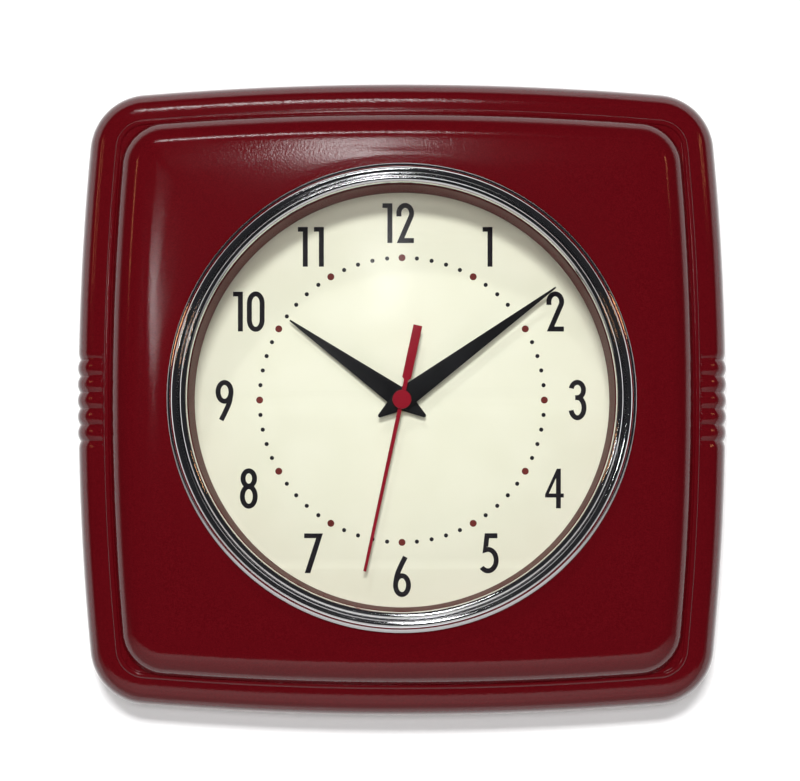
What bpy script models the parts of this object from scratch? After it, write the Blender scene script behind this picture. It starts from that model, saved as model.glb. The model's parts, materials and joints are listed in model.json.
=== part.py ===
"""A wall clock: a bowed square case with a chrome ring, a domed lens, three hands and a quartz movement.

Every piece is modelled in face coordinates: x to the right, y up and z forward from the wall,
with the axis of the hands at x = 0, y = 0. The empty named face turns them into the world frame,
where +Z is up, the wall is the plane y = 0 and the origin is the top of the hanging slot.
"""

import math

import bmesh
import bpy
from mathutils import Matrix, Vector

MM = 0.001
GAP = 0.3 * MM  # between pieces that touch or run in each other
OVERSHOOT = 1.0 * MM  # how far a cutter runs past what it cuts

# Case
CASE_WIDTH = 241.0 * MM
CASE_HEIGHT = 235.0 * MM
CASE_CORNER = 22.0 * MM
SIDE_BOW_RADIUS = 980.0 * MM
TOP_BOW_RADIUS = 1150.0 * MM
CASE_WALL = 2.4 * MM
REAR_TAPER = 3.0 * MM  # how much smaller the rear rim is, on each side, than the widest outline
WIDEST_DEPTH = 20.0 * MM
FLANGE_DEPTH = 33.0 * MM
PANEL_DEPTH = 43.4 * MM
SIDE_MARGIN = 14.8 * MM
TOP_MARGIN = 13.1 * MM
PANEL_CORNER = 17.0 * MM
PANEL_ROUND = 14.5 * MM  # how far in from its foot the panel's edge rounds over
ROUND_LIMIT = 0.9  # the most of the room between the panel's foot and the seat that the round takes

# Grooves on the flange
GROOVE_COUNT = 6
GROOVE_PITCH = 6.05 * MM
GROOVE_RADIUS = 1.6 * MM
GROOVE_DEPTH = 1.0 * MM
GROOVE_REACH = 8.2 * MM  # how far in from the outline a groove ends

# Opening, ring, lens and dial
OPENING_RADIUS = 77.3 * MM
OPENING_WALL = 2.2 * MM
SEAT_SHARE = 0.192  # of the room between the ring and the panel's foot, for the flat seat
RING_OVERLAP = 6.8 * MM  # the ring reaches this far out from the opening
RING_LIP = 0.3 * MM  # the ring reaches this far in over the opening
RING_HEIGHT = 9.6 * MM
LENS_THICKNESS = 1.6 * MM
LENS_RIM = 3.2 * MM
LENS_RISE = 8.0 * MM
DIAL_THICKNESS = 0.6 * MM
DIAL_OVERLAP = 12.7 * MM  # the dial reaches this far out behind the opening
DIAL_POST_OFFSET = 8.2 * MM

# Posts and screws
POST_RADIUS = 3.4 * MM
COVER_POST_INSET = 19.7 * MM
SCREW_RADIUS = 1.3 * MM
SCREW_LENGTH = 9.0 * MM
SCREW_HEAD_RADIUS = 2.8 * MM
SCREW_HEAD_HEIGHT = 1.6 * MM

# Rear cover and hanging slot
COVER_THICKNESS = 2.2 * MM
COVER_DEPTH = 1.0 * MM  # its rear face is this far from the wall
COVER_GAP = 0.6 * MM
HANG_DROP = 88.0 * MM  # from the top of the slot down to the axis of the hands
SLOT_WIDTH = 5.2 * MM
SLOT_LENGTH = 10.0 * MM
KEYHOLE_RADIUS = 5.0 * MM

# Movement box
MOVEMENT_TOP = 28.0 * MM  # from the axis of the hands up to the top of the box
MOVEMENT_WALL = 1.2 * MM
MOVEMENT_REAR = 2.2 * MM
MOVEMENT_CLEARANCE = 2.2 * MM  # between the box and the window in the rear cover
ROOM_CLEARANCE = 0.83 * MM  # between the widest wheel and the partition over the battery
RUBBER_THICKNESS = 0.6 * MM
RUBBER_RADIUS = 11.0 * MM

# Battery
BATTERY_RADIUS = 7.1 * MM
BATTERY_LENGTH = 49.2 * MM
BATTERY_NUB_RADIUS = 2.7 * MM
BATTERY_NUB_LENGTH = 1.3 * MM
BAY_CLEARANCE = 0.6 * MM
CONTACT_THICKNESS = 0.4 * MM
CONTACT_WIDTH = 9.0 * MM
SPRING_ROOM = 1.4 * MM  # between the negative contact and the battery
SPRING_RADIUS = 3.6 * MM
SPRING_WIRE_RADIUS = 0.35 * MM
SPRING_TURNS = 2

# Shafts on the axis of the hands, from the inside out
SECOND_ARBOR_RADIUS = 0.4 * MM
CANNON_BORE_RADIUS = 0.75 * MM
CANNON_RADIUS = 1.15 * MM
HOUR_BORE_RADIUS = 1.5 * MM
HOUR_RADIUS = 1.95 * MM
BUSHING_BORE_RADIUS = 2.3 * MM
BUSHING_RADIUS = 3.0 * MM
BUSHING_FLANGE_RADIUS = 5.2 * MM
BUSHING_FLANGE = 0.6 * MM
ARBOR_RADIUS = 0.5 * MM
PIVOT_DEPTH = 0.7 * MM

# Nut and washer in front of the dial
WASHER_RADIUS = 4.2 * MM
WASHER_THICKNESS = 0.5 * MM
NUT_RADIUS = 4.4 * MM
NUT_THICKNESS = 1.7 * MM

# Hands
HAND_THICKNESS = 0.4 * MM
HAND_LIFT = 0.9 * MM  # from the bushing's tip to the hour hand
HAND_SPACING = 1.6 * MM  # between one hand and the next
HOUR_HAND_CLEARANCE = 26.3 * MM  # from a hand's tip to the wall of the opening
MINUTE_HAND_CLEARANCE = 6.8 * MM
SECOND_HAND_CLEARANCE = 12.3 * MM
HAND_HALF_WIDTH = 4.1 * MM
HAND_TAIL = 10.8 * MM
HAND_TIP_HALF_WIDTH = 0.3 * MM
HAND_TAIL_HALF_WIDTH = 0.6 * MM
NEEDLE_HALF_WIDTH = 0.65 * MM
NEEDLE_TIP_HALF_WIDTH = 0.45 * MM
NECK_HALF_WIDTH = 0.8 * MM
NECK_LENGTH = 7.4 * MM
COUNTERWEIGHT_LENGTH = 28.0 * MM
COUNTERWEIGHT_HALF_WIDTH = 1.55 * MM
BUTTON_RADIUS = 3.5 * MM
BUTTON_THICKNESS = 0.8 * MM
HUB_RADIUS = 1.2 * MM
HOUR_ANGLE = 305.3  # degrees clockwise from twelve
MINUTE_ANGLE = 53.9
SECOND_ANGLE = 192.0

# Wheels: teeth, and module in metres
CENTRE_TEETH = 48
THIRD_TEETH = 45
SECOND_TEETH = 36
INTERMEDIATE_TEETH = 30
PINION_LEAVES = 6
CANNON_LEAVES = 10
MINUTE_TEETH = 30
MINUTE_LEAVES = 8
HOUR_TEETH = 32
SETTING_LEAVES = 10
THIRD_MODULE = 0.4 * MM
FAST_SHARE = 0.8325  # module of the two fastest pairs, as a share of the third wheel's
CENTRE_MODULE = THIRD_MODULE * (PINION_LEAVES + THIRD_TEETH) / (PINION_LEAVES + CENTRE_TEETH)
FAST_MODULE = THIRD_MODULE * FAST_SHARE
MINUTE_MODULE = 0.42 * MM
HOUR_MODULE = MINUTE_MODULE * (CANNON_LEAVES + MINUTE_TEETH) / (MINUTE_LEAVES + HOUR_TEETH)
ADDENDUM = 0.8  # these four in modules, or in circular pitches for the widths
DEDENDUM = 1.2
TIP_WIDTH = 0.22
ROOT_WIDTH = 0.44
WHEEL_THICKNESS = 0.8 * MM
LEVEL_GAP = 0.5 * MM
PINION_OVERRUN = 0.15 * MM  # how much longer than the wheel in it a pinion is, at each end

# Bridge over the intermediate wheel
BRIDGE_MARGIN = 1.6 * MM
BRIDGE_POST_RADIUS = 0.8 * MM

# Where the arbors stand round the axis of the hands, in degrees anticlockwise from three o'clock
THIRD_DIRECTION = 135.0
INTERMEDIATE_DIRECTION = -20.0
ROTOR_DIRECTION = 0.0
MINUTE_DIRECTION = 200.0
SETTING_DIRECTION = 180.0

# Motor
MAGNET_RADIUS = 3.0 * MM
MAGNET_THICKNESS = 2.4 * MM
ROTOR_CLEARANCE = 0.5 * MM
STATOR_THICKNESS = 0.8 * MM
STATOR_LEG = 3.0 * MM
STATOR_HALF_HEIGHT = 4.8 * MM
COIL_HEIGHT = 17.5 * MM  # of the coil's middle above the axis of the hands
COIL_RADIUS = 3.4 * MM
BOBBIN_RADIUS = 3.6 * MM
BOBBIN_TUBE_RADIUS = 2.2 * MM
BOBBIN_FLANGE = 0.8 * MM
CORE_HALF_WIDTH = 1.1 * MM

# Board
BOARD_THICKNESS = 0.8 * MM
BOARD_ROOM = 0.5 * MM  # behind the board
BOARD_LEFT = -25.0 * MM
BOARD_RIGHT = 6.0 * MM
BOARD_MARGIN = 1.7 * MM  # between the board and the third wheel's arbor
CHIP_RADIUS = 3.0 * MM
CHIP_HEIGHT = 1.0 * MM
CRYSTAL_RADIUS = 1.0 * MM
CRYSTAL_LENGTH = 6.0 * MM

# Setting knob
KNOB_RADIUS = 5.6 * MM
KNOB_THICKNESS = 1.3 * MM
KNOB_SHAFT_RADIUS = 1.0 * MM

# Fineness
SIDE_STEPS = 3  # along half a side of the case
CORNER_STEPS = 4
RING_STEPS = 40
LENS_STEPS = 4  # from the lens's middle to its rim
SMALL_STEPS = 16
SCREW_STEPS = 12
ARBOR_STEPS = 10

# The movement box is as deep as the battery or the train, whichever needs more
LEVEL_PITCH = WHEEL_THICKNESS + LEVEL_GAP
WHEEL_LEVELS = 7  # the train plate's level among them
ROOM_REAR = MOVEMENT_REAR + MOVEMENT_WALL
TRAIN_ROOM = GAP + BUSHING_FLANGE + LEVEL_GAP + WHEEL_LEVELS * LEVEL_PITCH + BOARD_THICKNESS + BOARD_ROOM
BATTERY_DEPTH = MOVEMENT_REAR + GAP + BATTERY_RADIUS
MOVEMENT_SPLIT = BATTERY_DEPTH  # between its two halves
ROOM_FRONT = max(BATTERY_DEPTH + BATTERY_RADIUS + GAP, ROOM_REAR + TRAIN_ROOM)
MOVEMENT_FRONT = ROOM_FRONT + MOVEMENT_WALL
DIAL_BACK = MOVEMENT_FRONT + GAP + RUBBER_THICKNESS + GAP
DIAL_DEPTH = DIAL_BACK + DIAL_THICKNESS  # the dial's front face

# Levels of the movement, from the front back
BUSHING_FLANGE_REAR = ROOM_FRONT - GAP - BUSHING_FLANGE
HOUR_LEVEL = BUSHING_FLANGE_REAR - LEVEL_GAP  # each level is its wheel's front face
MINUTE_LEVEL = HOUR_LEVEL - LEVEL_PITCH
PLATE_LEVEL = MINUTE_LEVEL - LEVEL_PITCH
CENTRE_LEVEL = PLATE_LEVEL - LEVEL_PITCH
THIRD_LEVEL = CENTRE_LEVEL - LEVEL_PITCH
SECOND_LEVEL = THIRD_LEVEL - LEVEL_PITCH
INTERMEDIATE_LEVEL = SECOND_LEVEL - LEVEL_PITCH
BOARD_LEVEL = INTERMEDIATE_LEVEL - LEVEL_PITCH
ARBOR_REAR = ROOM_REAR - PIVOT_DEPTH + GAP
COVER_FRONT = COVER_DEPTH + COVER_THICKNESS

# Heights and widths of the movement box, from the axis of the hands
CENTRE_TIP_RADIUS = CENTRE_MODULE * (CENTRE_TEETH / 2 + ADDENDUM)
ROOM_LOW = -CENTRE_TIP_RADIUS - ROOM_CLEARANCE
BAY_TOP = ROOM_LOW - MOVEMENT_WALL
BATTERY_Y = BAY_TOP - BAY_CLEARANCE - BATTERY_RADIUS
BAY_LOW = BATTERY_Y - BATTERY_RADIUS - BAY_CLEARANCE
MOVEMENT_LOW = BAY_LOW - MOVEMENT_WALL
BAY_LENGTH = BATTERY_LENGTH + BATTERY_NUB_LENGTH + SPRING_ROOM + 2 * CONTACT_THICKNESS + 3 * GAP
BAY_HALF = BAY_LENGTH / 2
MOVEMENT_HALF_WIDTH = BAY_HALF + MOVEMENT_WALL

# Hands
BUSHING_TIP = DIAL_DEPTH + 3 * GAP + WASHER_THICKNESS + NUT_THICKNESS
HOUR_HAND_DEPTH = BUSHING_TIP + HAND_LIFT
MINUTE_HAND_DEPTH = HOUR_HAND_DEPTH + HAND_THICKNESS + HAND_SPACING
SECOND_HAND_DEPTH = MINUTE_HAND_DEPTH + HAND_THICKNESS + HAND_SPACING
HOUR_HAND_LENGTH = OPENING_RADIUS - HOUR_HAND_CLEARANCE
MINUTE_HAND_LENGTH = OPENING_RADIUS - MINUTE_HAND_CLEARANCE
SECOND_HAND_LENGTH = OPENING_RADIUS - SECOND_HAND_CLEARANCE


def polar(angle, radius, origin=(0.0, 0.0)):
    """The point at this angle, in degrees, and radius from the origin."""
    turn = math.radians(angle)
    return (origin[0] + radius * math.cos(turn), origin[1] + radius * math.sin(turn))


THIRD_PLACE = polar(THIRD_DIRECTION, THIRD_MODULE * (PINION_LEAVES + THIRD_TEETH) / 2)
INTERMEDIATE_PLACE = polar(INTERMEDIATE_DIRECTION, FAST_MODULE * (PINION_LEAVES + SECOND_TEETH) / 2)
ROTOR_PLACE = polar(
    ROTOR_DIRECTION, FAST_MODULE * (PINION_LEAVES + INTERMEDIATE_TEETH) / 2, INTERMEDIATE_PLACE
)
MINUTE_PLACE = polar(MINUTE_DIRECTION, MINUTE_MODULE * (CANNON_LEAVES + MINUTE_TEETH) / 2)
SETTING_PLACE = polar(
    SETTING_DIRECTION, MINUTE_MODULE * (MINUTE_TEETH + SETTING_LEAVES) / 2, MINUTE_PLACE
)
STATOR_LEFT = ROTOR_PLACE[0] - MAGNET_RADIUS - ROTOR_CLEARANCE - 1.0 * MM
STATOR_RIGHT = BAY_HALF - 1.0 * MM
BOARD_LOW = THIRD_PLACE[1] + ARBOR_RADIUS + BOARD_MARGIN
BOARD_HIGH = MOVEMENT_TOP - MOVEMENT_WALL - 1.4 * MM


class Bowed:
    """A square outline with bowed sides and round corners, all of them arcs."""

    def __init__(self, half_width, half_height, corner):
        self.corner = corner
        self.side_centre = Vector((half_width - SIDE_BOW_RADIUS, 0.0))
        self.top_centre = Vector((0.0, half_height - TOP_BOW_RADIUS))
        self.corner_centre = self.tangent_centre()

    def tangent_centre(self):
        """The centre of the corner arc that touches both bowed sides."""
        from_side = SIDE_BOW_RADIUS - self.corner
        from_top = TOP_BOW_RADIUS - self.corner
        between = self.top_centre - self.side_centre
        apart = between.length
        along = (from_side**2 - from_top**2 + apart**2) / (2 * apart)
        across = math.sqrt(from_side**2 - along**2)
        forward = between / apart
        return self.side_centre + forward * along + Vector((-forward.y, forward.x)) * across

    def quarter(self, inset):
        """Points from the middle of the right side round the corner to the middle of the top."""
        to_side = self.corner_centre - self.side_centre
        to_top = self.corner_centre - self.top_centre
        side_end = math.atan2(to_side.y, to_side.x)
        top_start = math.atan2(to_top.y, to_top.x)
        arcs = (
            (self.side_centre, SIDE_BOW_RADIUS, 0.0, side_end, SIDE_STEPS),
            (self.corner_centre, self.corner, side_end, top_start, CORNER_STEPS),
            (self.top_centre, TOP_BOW_RADIUS, top_start, math.pi / 2, SIDE_STEPS),
        )
        points = []
        for centre, radius, start, end, steps in arcs:
            for step in range(steps):
                angle = start + (end - start) * step / steps
                reach = radius - inset
                points.append(centre + Vector((math.cos(angle), math.sin(angle))) * reach)
        points.append(Vector((0.0, self.top_centre.y + TOP_BOW_RADIUS - inset)))
        return points

    def ring(self, inset):
        """The whole outline, moved in by inset, anticlockwise from the middle of the right side."""
        quarter = self.quarter(inset)
        half = quarter + [Vector((-p.x, p.y)) for p in reversed(quarter[:-1])]
        return half + [Vector((p.x, -p.y)) for p in reversed(half[1:-1])]

    def side_x(self, y, inset):
        """How far out the right side is at height y."""
        reach = SIDE_BOW_RADIUS - inset
        return self.side_centre.x + math.sqrt(reach**2 - y**2)


PANEL_HALF_WIDTH = CASE_WIDTH / 2 - SIDE_MARGIN
PANEL_HALF_HEIGHT = CASE_HEIGHT / 2 - TOP_MARGIN
CASE_OUTLINE = Bowed(CASE_WIDTH / 2, CASE_HEIGHT / 2, CASE_CORNER)
PANEL_OUTLINE = Bowed(PANEL_HALF_WIDTH, PANEL_HALF_HEIGHT, PANEL_CORNER)


def clear_scene():
    for old in list(bpy.data.objects):
        bpy.data.objects.remove(old, do_unlink=True)


def new_collection(name, hidden=False):
    made = bpy.data.collections.new(name)
    made.hide_render = hidden
    bpy.context.scene.collection.children.link(made)
    return made


def new_material(name, colour, roughness, metallic=0.0, transmission=0.0):
    made = bpy.data.materials.new(name)
    made.use_nodes = True
    shader = made.node_tree.nodes["Principled BSDF"]
    shader.inputs["Base Color"].default_value = (*colour, 1.0)
    shader.inputs["Roughness"].default_value = roughness
    shader.inputs["Metallic"].default_value = metallic
    shader.inputs["Transmission Weight"].default_value = transmission
    made.diffuse_color = (*colour, 1.0)
    return made


clear_scene()
PARTS = new_collection("wall_clock")
CUTTERS = new_collection("cutters", hidden=True)
FACE = bpy.data.objects.new("face", None)
FACE.location = (0.0, 0.0, -HANG_DROP)
FACE.rotation_euler = (math.pi / 2, 0.0, 0.0)
PARTS.objects.link(FACE)

RED_PLASTIC = new_material("red_gloss", (0.13, 0.005, 0.010), 0.12)
CHROME = new_material("chrome_plate", (0.75, 0.75, 0.76), 0.06, metallic=1.0)
CLEAR = new_material("clear_lens", (0.98, 0.99, 0.98), 0.03, transmission=1.0)
CREAM = new_material("dial_paint", (0.86, 0.84, 0.70), 0.55)
BLACK_METAL = new_material("hand_black", (0.01, 0.01, 0.012), 0.35)
RED_METAL = new_material("hand_red", (0.30, 0.010, 0.025), 0.35)
BLACK_PLASTIC = new_material("black_plastic", (0.02, 0.02, 0.022), 0.45)
WHITE_PLASTIC = new_material("white_plastic", (0.75, 0.75, 0.72), 0.45)
BRASS = new_material("brass", (0.55, 0.40, 0.14), 0.28, metallic=1.0)
STEEL = new_material("steel", (0.50, 0.50, 0.51), 0.30, metallic=1.0)
RUBBER = new_material("rubber", (0.015, 0.015, 0.015), 0.85)
COPPER = new_material("copper_wire", (0.60, 0.22, 0.10), 0.35, metallic=1.0)
BOARD_GREEN = new_material("board_resin", (0.03, 0.16, 0.06), 0.50)
MAGNET_GREY = new_material("magnet", (0.10, 0.10, 0.11), 0.55)
BATTERY_SKIN = new_material("battery_sleeve", (0.05, 0.07, 0.10), 0.30)


def place(thing, x=0.0, y=0.0, z=0.0, turn=0.0, collection=CUTTERS):
    """Puts an object in face coordinates, turned anticlockwise by turn degrees."""
    thing.parent = FACE
    thing.location = (x, y, z)
    thing.rotation_euler = (0.0, 0.0, math.radians(turn))
    collection.objects.link(thing)
    if collection is CUTTERS:
        thing.hide_render = True
        thing.display_type = "WIRE"
    return thing


def part(thing, name, material):
    """Makes an object a sub-part: named, coloured and in the clock's own collection."""
    thing.name = name
    thing.data.materials.clear()
    thing.data.materials.append(material)
    CUTTERS.objects.unlink(thing)
    PARTS.objects.link(thing)
    thing.hide_render = False
    thing.display_type = "TEXTURED"
    return thing


def smooth(thing, angle=35.0):
    thing.data.shade_smooth()
    thing.data.set_sharp_from_angle(angle=math.radians(angle))
    return thing


def combine(thing, other, operation):
    """Adds a Boolean with another object."""
    step = thing.modifiers.new(operation.lower(), "BOOLEAN")
    step.operation = operation
    step.object = other
    return thing


def cut(thing, *others):
    for other in others:
        combine(thing, other, "DIFFERENCE")
    return thing


def join(thing, *others):
    for other in others:
        combine(thing, other, "UNION")
    return thing


def object_of(work, name, **where):
    """An object of a bmesh, which it frees."""
    mesh = bpy.data.meshes.new(name)
    work.to_mesh(mesh)
    work.free()
    return place(bpy.data.objects.new(name, mesh), **where)


def add_cylinder(work, radius, low, high, steps, x=0.0, y=0.0):
    middle = Matrix.Translation((x, y, (low + high) / 2))
    bmesh.ops.create_cone(
        work,
        cap_ends=True,
        segments=steps,
        radius1=radius,
        radius2=radius,
        depth=high - low,
        matrix=middle,
    )


def add_box(work, low, high):
    """A box between two corners."""
    middle = [(a + b) / 2 for a, b in zip(low, high)]
    size = [b - a for a, b in zip(low, high)]
    matrix = Matrix.Translation(middle) @ Matrix.Diagonal((*size, 1.0))
    bmesh.ops.create_cube(work, size=1.0, matrix=matrix)


def cylinder(name, radius, low, high, steps=SMALL_STEPS, **where):
    work = bmesh.new()
    add_cylinder(work, radius, low, high, steps)
    return object_of(work, name, **where)


def cylinders(name, radius, low, high, places, steps=SMALL_STEPS):
    """Several equal cylinders as one helper."""
    work = bmesh.new()
    for x, y in places:
        add_cylinder(work, radius, low, high, steps, x, y)
    return object_of(work, name)


def box(name, low, high, **where):
    work = bmesh.new()
    add_box(work, low, high)
    return object_of(work, name, **where)


def turned(name, profile, steps, **where):
    """A closed profile of (radius, z) points, running down its outer side, turned about z."""
    mesh = bpy.data.meshes.new(name)
    count = len(profile)
    touches_axis = profile[0][0] == 0.0
    edges = [(i, i + 1) for i in range(count - 1)] + ([] if touches_axis else [(count - 1, 0)])
    mesh.from_pydata([(r, 0.0, z) for r, z in profile], edges, [])
    made = place(bpy.data.objects.new(name, mesh), **where)
    screw = made.modifiers.new("turn", "SCREW")
    screw.axis = "Z"
    screw.steps = steps
    screw.render_steps = steps
    screw.use_merge_vertices = True
    screw.merge_threshold = 0.00001
    screw.use_smooth_shade = True
    return made


def plate(name, outlines, low, high, **where):
    """Flat outlines filled and extruded from z = low to z = high; an inner outline is a hole."""
    curve = bpy.data.curves.new(name, "CURVE")
    curve.dimensions = "2D"
    curve.fill_mode = "BOTH"
    curve.extrude = (high - low) / 2
    for points in outlines:
        spline = curve.splines.new("POLY")
        spline.points.add(len(points) - 1)
        for slot, point in zip(spline.points, points):
            slot.co = (point[0], point[1], 0.0, 1.0)
        spline.use_cyclic_u = True
    flat = bpy.data.objects.new(name + "_outline", curve)
    return mesh_of_curve(flat, name, lift=(low + high) / 2, **where)


def mesh_of_curve(flat, name, lift=0.0, **where):
    """A mesh object with the shape of a curve object, which it removes."""
    CUTTERS.objects.link(flat)
    graph = bpy.context.evaluated_depsgraph_get()
    mesh = bpy.data.meshes.new_from_object(flat.evaluated_get(graph))
    mesh.transform(Matrix.Translation((0.0, 0.0, lift)))
    work = bmesh.new()
    work.from_mesh(mesh)
    bmesh.ops.remove_doubles(work, verts=work.verts, dist=0.000001)
    bmesh.ops.recalc_face_normals(work, faces=work.faces)
    curve = flat.data
    bpy.data.objects.remove(flat)
    bpy.data.curves.remove(curve)
    bpy.data.meshes.remove(mesh)
    return object_of(work, name, **where)


def circle(radius, steps=SMALL_STEPS, x=0.0, y=0.0):
    return [polar(360.0 * step / steps, radius, (x, y)) for step in range(steps)]


def hole_radius(radius, steps):
    """The radius of a faceted hole whose flats clear a shaft of this radius."""
    return (radius + GAP) / math.cos(math.pi / steps)


def gear_outline(teeth, module, phase=0.0):
    """Straight-sided teeth round a circle; phase is the angle of the first tooth, in degrees."""
    pitch_radius = teeth * module / 2
    tip = pitch_radius + ADDENDUM * module
    root = pitch_radius - DEDENDUM * module
    circular_pitch = math.pi * module
    corners = (
        (root, -ROOT_WIDTH / 2),
        (tip, -TIP_WIDTH / 2),
        (tip, TIP_WIDTH / 2),
        (root, ROOT_WIDTH / 2),
    )
    return [
        polar(phase + 360.0 * tooth / teeth + math.degrees(side * circular_pitch / radius), radius)
        for tooth in range(teeth)
        for radius, side in corners
    ]


def meshing_phase(driver_teeth, driver_phase, driven_teeth, direction):
    """The phase of a gear that stands in this direction from its driver, with their teeth in mesh."""
    ahead = driver_phase - direction
    return direction + 180.0 + 180.0 / driven_teeth - ahead * driver_teeth / driven_teeth


def gear(name, teeth, module, front, thickness, phase=0.0, **where):
    return plate(name, [gear_outline(teeth, module, phase)], front - thickness, front, **where)


def wheel_pinion(name, level, leaves, module, where, steps_back=0.0):
    """A pinion a little longer than the wheel of this level, which it meshes with."""
    front = level + PINION_OVERRUN
    return gear(name, leaves, module, front, WHEEL_THICKNESS + 2 * PINION_OVERRUN + steps_back, **where)


# Case


def seat_radius():
    """How far out the flat seat under the ring reaches."""
    ring = OPENING_RADIUS + RING_OVERLAP
    room = min(PANEL_HALF_WIDTH, PANEL_HALF_HEIGHT) - ring
    return ring + SEAT_SHARE * room


def panel_round():
    """How far in from its foot the panel's edge rounds over, a fillet limited by its wall."""
    room = min(PANEL_HALF_WIDTH, PANEL_HALF_HEIGHT) - seat_radius()
    return min(PANEL_ROUND, ROUND_LIMIT * room)


def case_section():
    """The outside of the case from its rear rim forward, as (outline, inset from it, z)."""
    round_over = panel_round()
    flange_round = FLANGE_DEPTH - WIDEST_DEPTH
    panel_step = PANEL_DEPTH - FLANGE_DEPTH
    rear = [(1.0, 0.0), (0.4, 0.35), (0.08, 0.70), (0.0, 1.0)]
    flange = [(0.04, 0.35), (0.15, 0.65), (0.32, 0.85), (0.55, 0.955)]
    panel = [(0.0, 0.0), (0.05, 0.30), (0.14, 0.54), (0.32, 0.76), (0.59, 0.91), (1.0, 0.975)]
    section = [(CASE_OUTLINE, REAR_TAPER * a, WIDEST_DEPTH * b) for a, b in rear]
    section += [(CASE_OUTLINE, SIDE_MARGIN * a, WIDEST_DEPTH + flange_round * b) for a, b in flange]
    section += [(PANEL_OUTLINE, round_over * a, FLANGE_DEPTH + panel_step * b) for a, b in panel]
    return section


def inside_of(section):
    """The same section moved in by the wall, square to itself."""
    flat = [
        Vector((inset + (SIDE_MARGIN if outline is PANEL_OUTLINE else 0.0), z))
        for outline, inset, z in section
    ]
    inside = []
    for i, (outline, inset, z) in enumerate(section):
        before = (flat[i] - flat[max(i - 1, 0)]) if i else flat[1] - flat[0]
        after = (flat[i + 1] - flat[i]) if i < len(flat) - 1 else Vector((1.0, 0.0))
        normals = [Vector((t.y, -t.x)).normalized() for t in (before, after)]
        middle = (normals[0] + normals[1]).normalized()
        move = middle * CASE_WALL / middle.dot(normals[0])
        inside.append((outline, inset + move.x, z + move.y if i else 0.0))
    return inside


def round_ring(radius, like):
    """A circle with its points in the same directions as those of another ring."""
    return [p.normalized() * radius for p in like]


def case_rings():
    """Every ring of the case's skin, from the rear rim over the front and back inside."""
    outside = case_section()
    inside = inside_of(outside)
    rings = [(outline.ring(inset), z) for outline, inset, z in outside]
    like = rings[-1][0]
    inner_depth = PANEL_DEPTH - CASE_WALL
    throat = OPENING_RADIUS + OPENING_WALL
    rings += [
        (round_ring(seat_radius(), like), PANEL_DEPTH),
        (round_ring(OPENING_RADIUS, like), PANEL_DEPTH),
        (round_ring(OPENING_RADIUS, like), DIAL_DEPTH + GAP),
        (round_ring(throat, like), DIAL_DEPTH + GAP),
        (round_ring(throat, like), inner_depth),
    ]
    rings += [(outline.ring(inset), z) for outline, inset, z in reversed(inside)]
    return rings


def lofted_case():
    """The skin between the rings, closed from the last ring back to the first."""
    work = bmesh.new()
    rings = [[work.verts.new((p.x, p.y, z)) for p in points] for points, z in case_rings()]
    for near, far in zip(rings, rings[1:] + rings[:1]):
        for i in range(len(near)):
            j = (i + 1) % len(near)
            work.faces.new((near[i], near[j], far[j], far[i]))
    bmesh.ops.recalc_face_normals(work, faces=work.faces)
    return object_of(work, "case_shell")


def cover_post_places():
    x = CASE_WIDTH / 2 - SIDE_MARGIN - COVER_POST_INSET
    y = CASE_HEIGHT / 2 - TOP_MARGIN - COVER_POST_INSET
    return [(x, y), (-x, y), (-x, -y), (x, -y)]


def dial_post_places():
    return [polar(45.0 + 90.0 * i, OPENING_RADIUS + DIAL_POST_OFFSET) for i in range(4)]


def groove_cutter(side, y):
    """A round bar bent over the flange, in the plane of one groove."""
    path = [(i, z) for outline, i, z in case_section() if outline is CASE_OUTLINE and i < GROOVE_REACH]
    path = path[2:][::2] + path[-1:]
    lift = GROOVE_RADIUS - GROOVE_DEPTH
    curve = bpy.data.curves.new("groove", "CURVE")
    curve.dimensions = "3D"
    curve.bevel_depth = GROOVE_RADIUS
    curve.bevel_resolution = 0
    curve.use_fill_caps = True
    spline = curve.splines.new("POLY")
    spline.points.add(len(path) - 1)
    for i, (slot, (inset, z)) in enumerate(zip(spline.points, path)):
        outward = 1.0 - i / (len(path) - 1)
        x = CASE_OUTLINE.side_x(y, inset) + lift * outward
        slot.co = (side * x, y, z + lift * (1.0 - outward), 1.0)
    return mesh_of_curve(bpy.data.objects.new("groove", curve), "groove_cutter")


def groove_heights():
    return [(i - (GROOVE_COUNT - 1) / 2) * GROOVE_PITCH for i in range(GROOVE_COUNT)]


def make_case():
    case = lofted_case()
    post_front = PANEL_DEPTH - CASE_WALL / 2
    cover_front = COVER_FRONT + GAP
    dial_front = DIAL_DEPTH + GAP
    pilot = hole_radius(SCREW_RADIUS, SMALL_STEPS)
    join(case, cylinders("cover_posts", POST_RADIUS, cover_front, post_front, cover_post_places()))
    join(case, cylinders("dial_posts", POST_RADIUS, dial_front, post_front, dial_post_places()))
    cover_pilots = cylinders(
        "cover_pilots",
        pilot,
        cover_front - OVERSHOOT,
        COVER_DEPTH + SCREW_LENGTH + OVERSHOOT,
        cover_post_places(),
    )
    dial_pilots = cylinders(
        "dial_pilots",
        pilot,
        dial_front - OVERSHOOT,
        DIAL_BACK + SCREW_LENGTH + OVERSHOOT,
        dial_post_places(),
    )
    cut(case, cover_pilots, dial_pilots)
    for side in (-1, 1):
        for y in groove_heights():
            cut(case, groove_cutter(side, y))
    return smooth(part(case, "case_shell", RED_PLASTIC))


# Ring, lens and dial


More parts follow.
